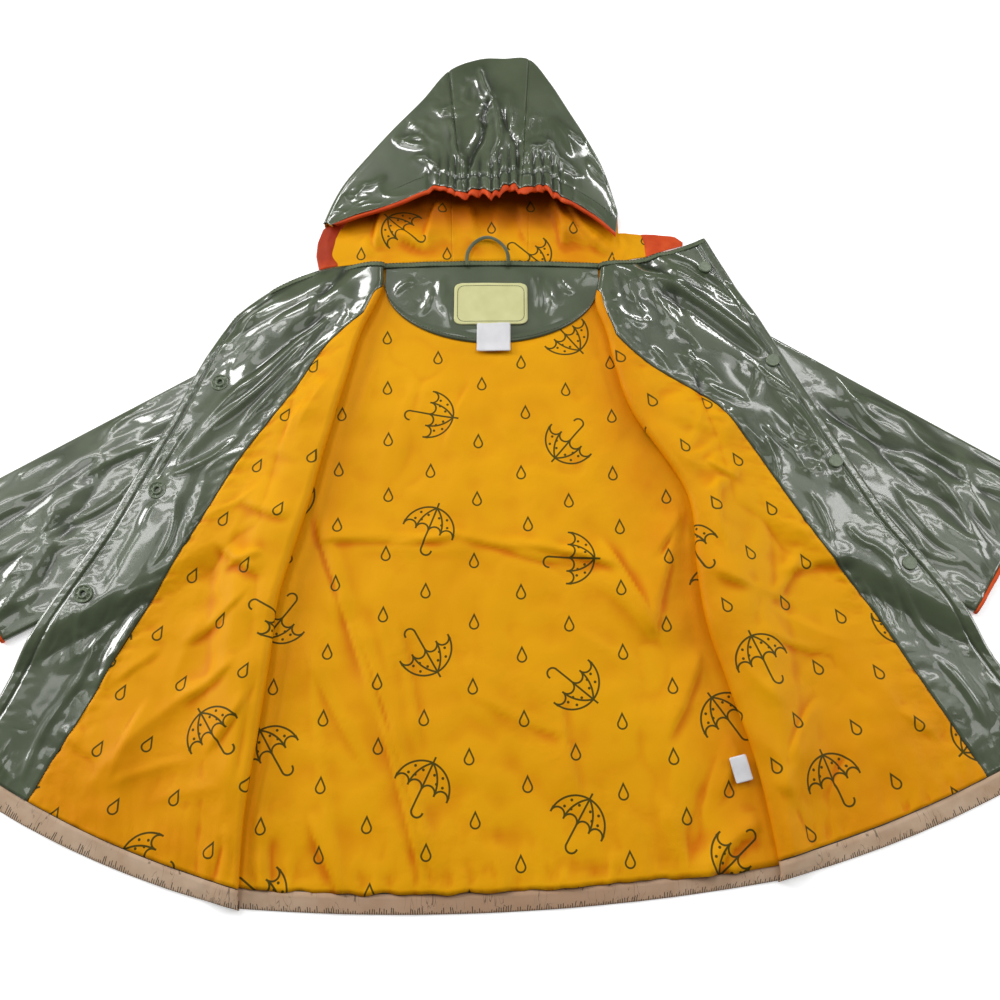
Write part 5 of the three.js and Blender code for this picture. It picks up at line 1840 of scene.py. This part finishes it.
def label_on(name, places, finish, slot, node):
    made = sheet_of(name, places, flat_grain(places), finish, thick=0.5)
    attach(made, slot, node)
    flat, area = cut_of(places)


def label_lift(x, y):
    return FACING_TOP + LAYER + 0.4 * waved(x, y, 30, 111.0)


def size_tag_lift(x, y):
    return FACING_TOP + 1.6 + 0.3 * np.sin((x + 5) / 6) + 1.2 * smooth(-y, -142, -133)


def care_tag_lift(x, y):
    return LINING_TOP + 5.2 + 0.5 * np.sin((y + 213) / 4)


places = label_places(LABEL_X, LABEL_Y, LABEL_WIDTH, LABEL_HEIGHT, LABEL_CORNER, 0, label_lift)
label_on("neck_label_cloth", places, LABEL, "label", "neck_label")
places = label_places(-5.5, 147, 29, 28, 1, 0, size_tag_lift)
label_on("size_tag_cloth", places, TAG, "tag", "size_tag")
places = label_places(178, -213, 13, 19, 1, 14, care_tag_lift)
label_on("care_tag_cloth", places, TAG, "tag", "care_tag")


# The stitching: olive and dark thread in short stitches, sunk into the cloth. It holds the front
# edges, the facing seams, the tape, the hood's casing and seams and the labels.
THREAD = Finish("olive_thread", {"Roughness": 0.6, "Base Color": (0.06, 0.075, 0.04, 1)})
DARK_THREAD = Finish("dark_thread", {"Roughness": 0.6, "Base Color": (0.03, 0.032, 0.014, 1)})
for thread in (THREAD, DARK_THREAD):
    strands = thread.cloudy(thread.place(), 0.5, 1)
    thread.relief(strands, 0.08)


def evenly(path, spacing):
    """Places one spacing apart along a line of places."""
    steps = np.linalg.norm(np.diff(path, axis=0), axis=1)
    far_along = np.concatenate([[0], np.cumsum(steps)])
    at = np.arange(spacing / 2, far_along[-1], spacing)
    return np.stack([np.interp(at, far_along, path[:, k]) for k in range(3)], axis=-1)


def stitches(name, paths, thread, slot, spacing=3.0, long=2.0, radius=0.3, lift=0.1):
    """Short stitches along lines of places, all in one mesh. Each is a rounded six-sided rod."""
    rings = [(-0.5, 0.15), (-0.36, 0.85), (0.0, 1.0), (0.36, 0.85), (0.5, 0.15)]
    sides = 6
    vertices = []
    faces = []
    for path in paths:
        centres = evenly(path, spacing)
        if len(centres) < 2:
            continue
        ahead = np.gradient(centres, axis=0)
        ahead = ahead / np.linalg.norm(ahead, axis=1, keepdims=True)
        for centre, run in zip(centres, ahead):
            side = np.cross(run, (0, 0, 1.0))
            side = side / np.linalg.norm(side)
            up = np.cross(side, run)
            first = len(vertices)
            for share, thick in rings:
                sink = up * (lift - 0.5 * radius * (abs(share) * 2) ** 2)
                for k in range(sides):
                    angle = 2 * math.pi * k / sides
                    around_rod = (side * math.cos(angle) + up * math.sin(angle)) * radius * thick
                    vertices.append(centre + run * share * long + sink + around_rod)
            for ring in range(len(rings) - 1):
                for k in range(sides):
                    a = first + ring * sides + k
                    b = first + ring * sides + (k + 1) % sides
                    faces.append((a, a + sides, b + sides, b))
            faces.append(tuple(first + k for k in range(sides)))
            last_ring = first + (len(rings) - 1) * sides
            faces.append(tuple(last_ring + k for k in reversed(range(sides))))
    attach(mesh_of(name, vertices, faces, thread), slot)


def on_front(front, at, s, offset):
    return front_point(front, np.asarray(at, float), np.asarray(s, float), offset)


def edge_path(front, inset, offset):
    """A line along the front edge, and on the right front round the soft corner first."""
    at = even_rows(front, 0.05, HEM - 0.02, 3)
    row = plan_row(front, at)
    if front.side == "left":
        return on_front(front, at, row.length - inset, offset)
    fine = np.linspace(0, 3, 200)
    corner_s = np.linspace(CORNER_START + 1, 0.5 * CORNER_START + 0.5 * (row.length[0] - inset) + 6, 14)
    corner_at = [np.interp(inset, edge_distance(front, fine, s), fine) for s in corner_s]
    corner = on_front(front, corner_at, corner_s, offset)
    below = on_front(front, at, row.length - inset, offset)
    below = below[np.hypot(*(below[:, :2] - corner[-1, :2]).T).argmin():]
    return np.concatenate([corner, below[1:]])


for front in FRONTS:
    edge_lines = [edge_path(front, EDGE_BAND, MIDDLE - 0.8), edge_path(front, 1.8, MIDDLE + 0.5)]
    stitches(f"front_{front.side}_edge_stitches", edge_lines, THREAD, "coated_cloth")
    at = even_rows(front, 3.4, BAND - 0.02, 2)
    row = plan_row(front, at)
    seam_line = on_front(front, at, facing_start(row, at), MIDDLE - 0.55)
    stitches(
        f"front_{front.side}_facing_seam", [seam_line], DARK_THREAD, "coated_cloth",
        spacing=2.4, long=2.5, radius=0.36,
    )
    lines = []
    for down in (0.07, 0.55):
        row = plan_row(front, np.full(160, down))
        start_s, end_s = tape_ends(front, row)
        s = start_s + (end_s - start_s) * np.linspace(0.01, 0.99, 160)
        lines.append(on_front(front, np.full(160, down), s, MIDDLE + 0.95))
    stitches(f"neck_tape_{front.side}_stitches", lines, THREAD, "tape")

tape_line = np.linspace(-102, 86, 120)
lines = []
for down in (0.1, 0.9):
    y = neck_y(tape_line) + 0.6 - TAPE_WIDTH * down
    z = FACING_TOP + LAYER + 0.25 * np.sin(tape_line / 5.7)
    lines.append(np.stack([tape_line, y, z], axis=-1))
stitches("neck_tape_back_stitches", lines, THREAD, "tape")

turn_line = np.linspace(0.04, math.pi - 0.04, 140)
facing_line = neck_facing_point(0.955 + 0 * turn_line, turn_line, FACING_TOP + 0.2)
stitches("neck_facing_stitches", [facing_line], THREAD, "coated_cloth")

casing_columns = np.linspace(0.3, 13.7, 300)
casing_row = SimpleNamespace(**{key: through(HOOD, key, casing_columns) for key in HOOD})
casing_length = np.hypot(casing_row.brim_x - casing_row.top_x, casing_row.brim_y - casing_row.top_y)
casing_line = hood_point(casing_columns, 3 - CASING / casing_length, -MIDDLE)
seam_at = 2 + np.linspace(0.02, 1 - CASING / 150, 90)
seam_lines = [
    hood_point(seam + shift + 0 * seam_at, seam_at, -MIDDLE)
    for seam, shift in ((6, -0.05), (9, 0.05))
]
stitches("hood_stitches", [casing_line, *seam_lines], THREAD, "coated_cloth", lift=0.15)

border = []
corner_x = LABEL_WIDTH / 2 - LABEL_CORNER - BORDER_INSET
corner_y = LABEL_HEIGHT / 2 - LABEL_CORNER - BORDER_INSET
for side_x, side_y, start in ((1, 1, 0), (-1, 1, 90), (-1, -1, 180), (1, -1, 270)):
    for angle in np.radians(np.linspace(start, start + 90, 10)):
        x = LABEL_X + side_x * corner_x + LABEL_CORNER * math.cos(angle)
        y = LABEL_Y + side_y * corner_y + LABEL_CORNER * math.sin(angle)
        border.append((x, y, 0.0))
border = evenly(np.array(border + border[:1]), 0.8)
border[:, 2] = label_lift(border[:, 0], border[:, 1])
stitches("neck_label_border", [border], DARK_THREAD, "label", spacing=1.5, long=1.4, radius=0.28)


# The snap fasteners: four flat caps on the left front and three ring sockets on the right, pressed
# through the facing. They are moulded olive resin; a socket is ribbed round its open middle.
def olive_resin():
    finish = Finish("olive_resin", {"Roughness": 0.34, "Specular IOR Level": 0.5})
    tone = finish.cloudy(finish.place(), 2.5, 2)
    finish.colour(finish.between(tone.share(0.3, 0.7), (0.12, 0.15, 0.09), (0.165, 0.2, 0.13)))
    finish.relief(tone, 0.05)
    return finish


RESIN = olive_resin()
RIB_HEIGHT = 0.7
RIB_START = 4.0
RIB_END = 6.0


def seat_of(node):
    """The middle of a snap's foot and the way that it faces, from its solid."""
    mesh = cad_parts[node].data
    points = np.array([vertex.co for vertex in mesh.vertices])
    up = np.zeros(3)
    for polygon in mesh.polygons:
        if polygon.normal.z > 0.8:
            up += np.array(polygon.normal) * polygon.area
    up = up / np.linalg.norm(up)
    heights = points @ up
    middle = points.mean(axis=0)
    foot = middle + up * (heights.min() - middle @ up)
    return foot / MM - DATUM, up


def turned_on(name, profile, node, ribs=0):
    """A snap turned from a profile of radius and height. Its ribs stand between two radii."""
    foot, up = seat_of(node)
    side = np.cross(up, (0, 1.0, 0))
    side = side / np.linalg.norm(side)
    ahead = np.cross(up, side)
    segments = 64
    vertices = []
    for radius, height in profile:
        for k in range(segments):
            angle = 2 * math.pi * k / segments
            ribbed = ribs > 0 and RIB_START < radius < RIB_END
            rib = RIB_HEIGHT * max(0.0, math.cos(ribs * angle)) if ribbed else 0.0
            flat_part = side * math.cos(angle) + ahead * math.sin(angle)
            vertices.append(foot + flat_part * radius + up * (height + rib))
    faces = []
    for ring in range(len(profile) - 1):
        for k in range(segments):
            a = ring * segments + k
            b = ring * segments + (k + 1) % segments
            faces.append((a, b, b + segments, a + segments))
    made = mesh_of(name, vertices, faces, RESIN, merge=True)
    shape = bmesh.new()
    shape.from_mesh(made.data)
    bmesh.ops.holes_fill(shape, edges=[edge for edge in shape.edges if edge.is_boundary], sides=0)
    bmesh.ops.recalc_face_normals(shape, faces=shape.faces)
    shape.to_mesh(made.data)
    shape.free()
    attach(made, "snap", node)


# Each profile from the middle of its underside out and up to its top, as radius and height
CAP = [
    (0.01, -1.2), (5.2, -1.2), (5.6, -0.9), (5.75, 0.2), (5.7, 0.9), (5.45, 1.35), (5.0, 1.55),
    (4.6, 1.45), (4.3, 1.4), (2.0, 1.5), (0.01, 1.52),
]
SOCKET = [
    (2.2, -1.0), (6.9, -1.0), (7.4, -0.6), (7.5, 0.4), (7.3, 1.2), (6.9, 1.5), (6.4, 1.4), (6.0, 0.5),
    (5.3, 0.3), (4.6, 0.3), (4.1, 0.6), (3.9, 1.7), (3.6, 2.1), (3.1, 2.2), (2.6, 2.0), (2.3, 1.5),
    (2.2, 0.4), (2.2, -1.0),
]
for i in range(1, 5):
    turned_on(f"snap_cap_{i}_resin", CAP, f"snap_cap_{i}")
for i in range(1, 4):
    turned_on(f"snap_socket_{i}_resin", SOCKET, f"snap_socket_{i}", ribs=8)
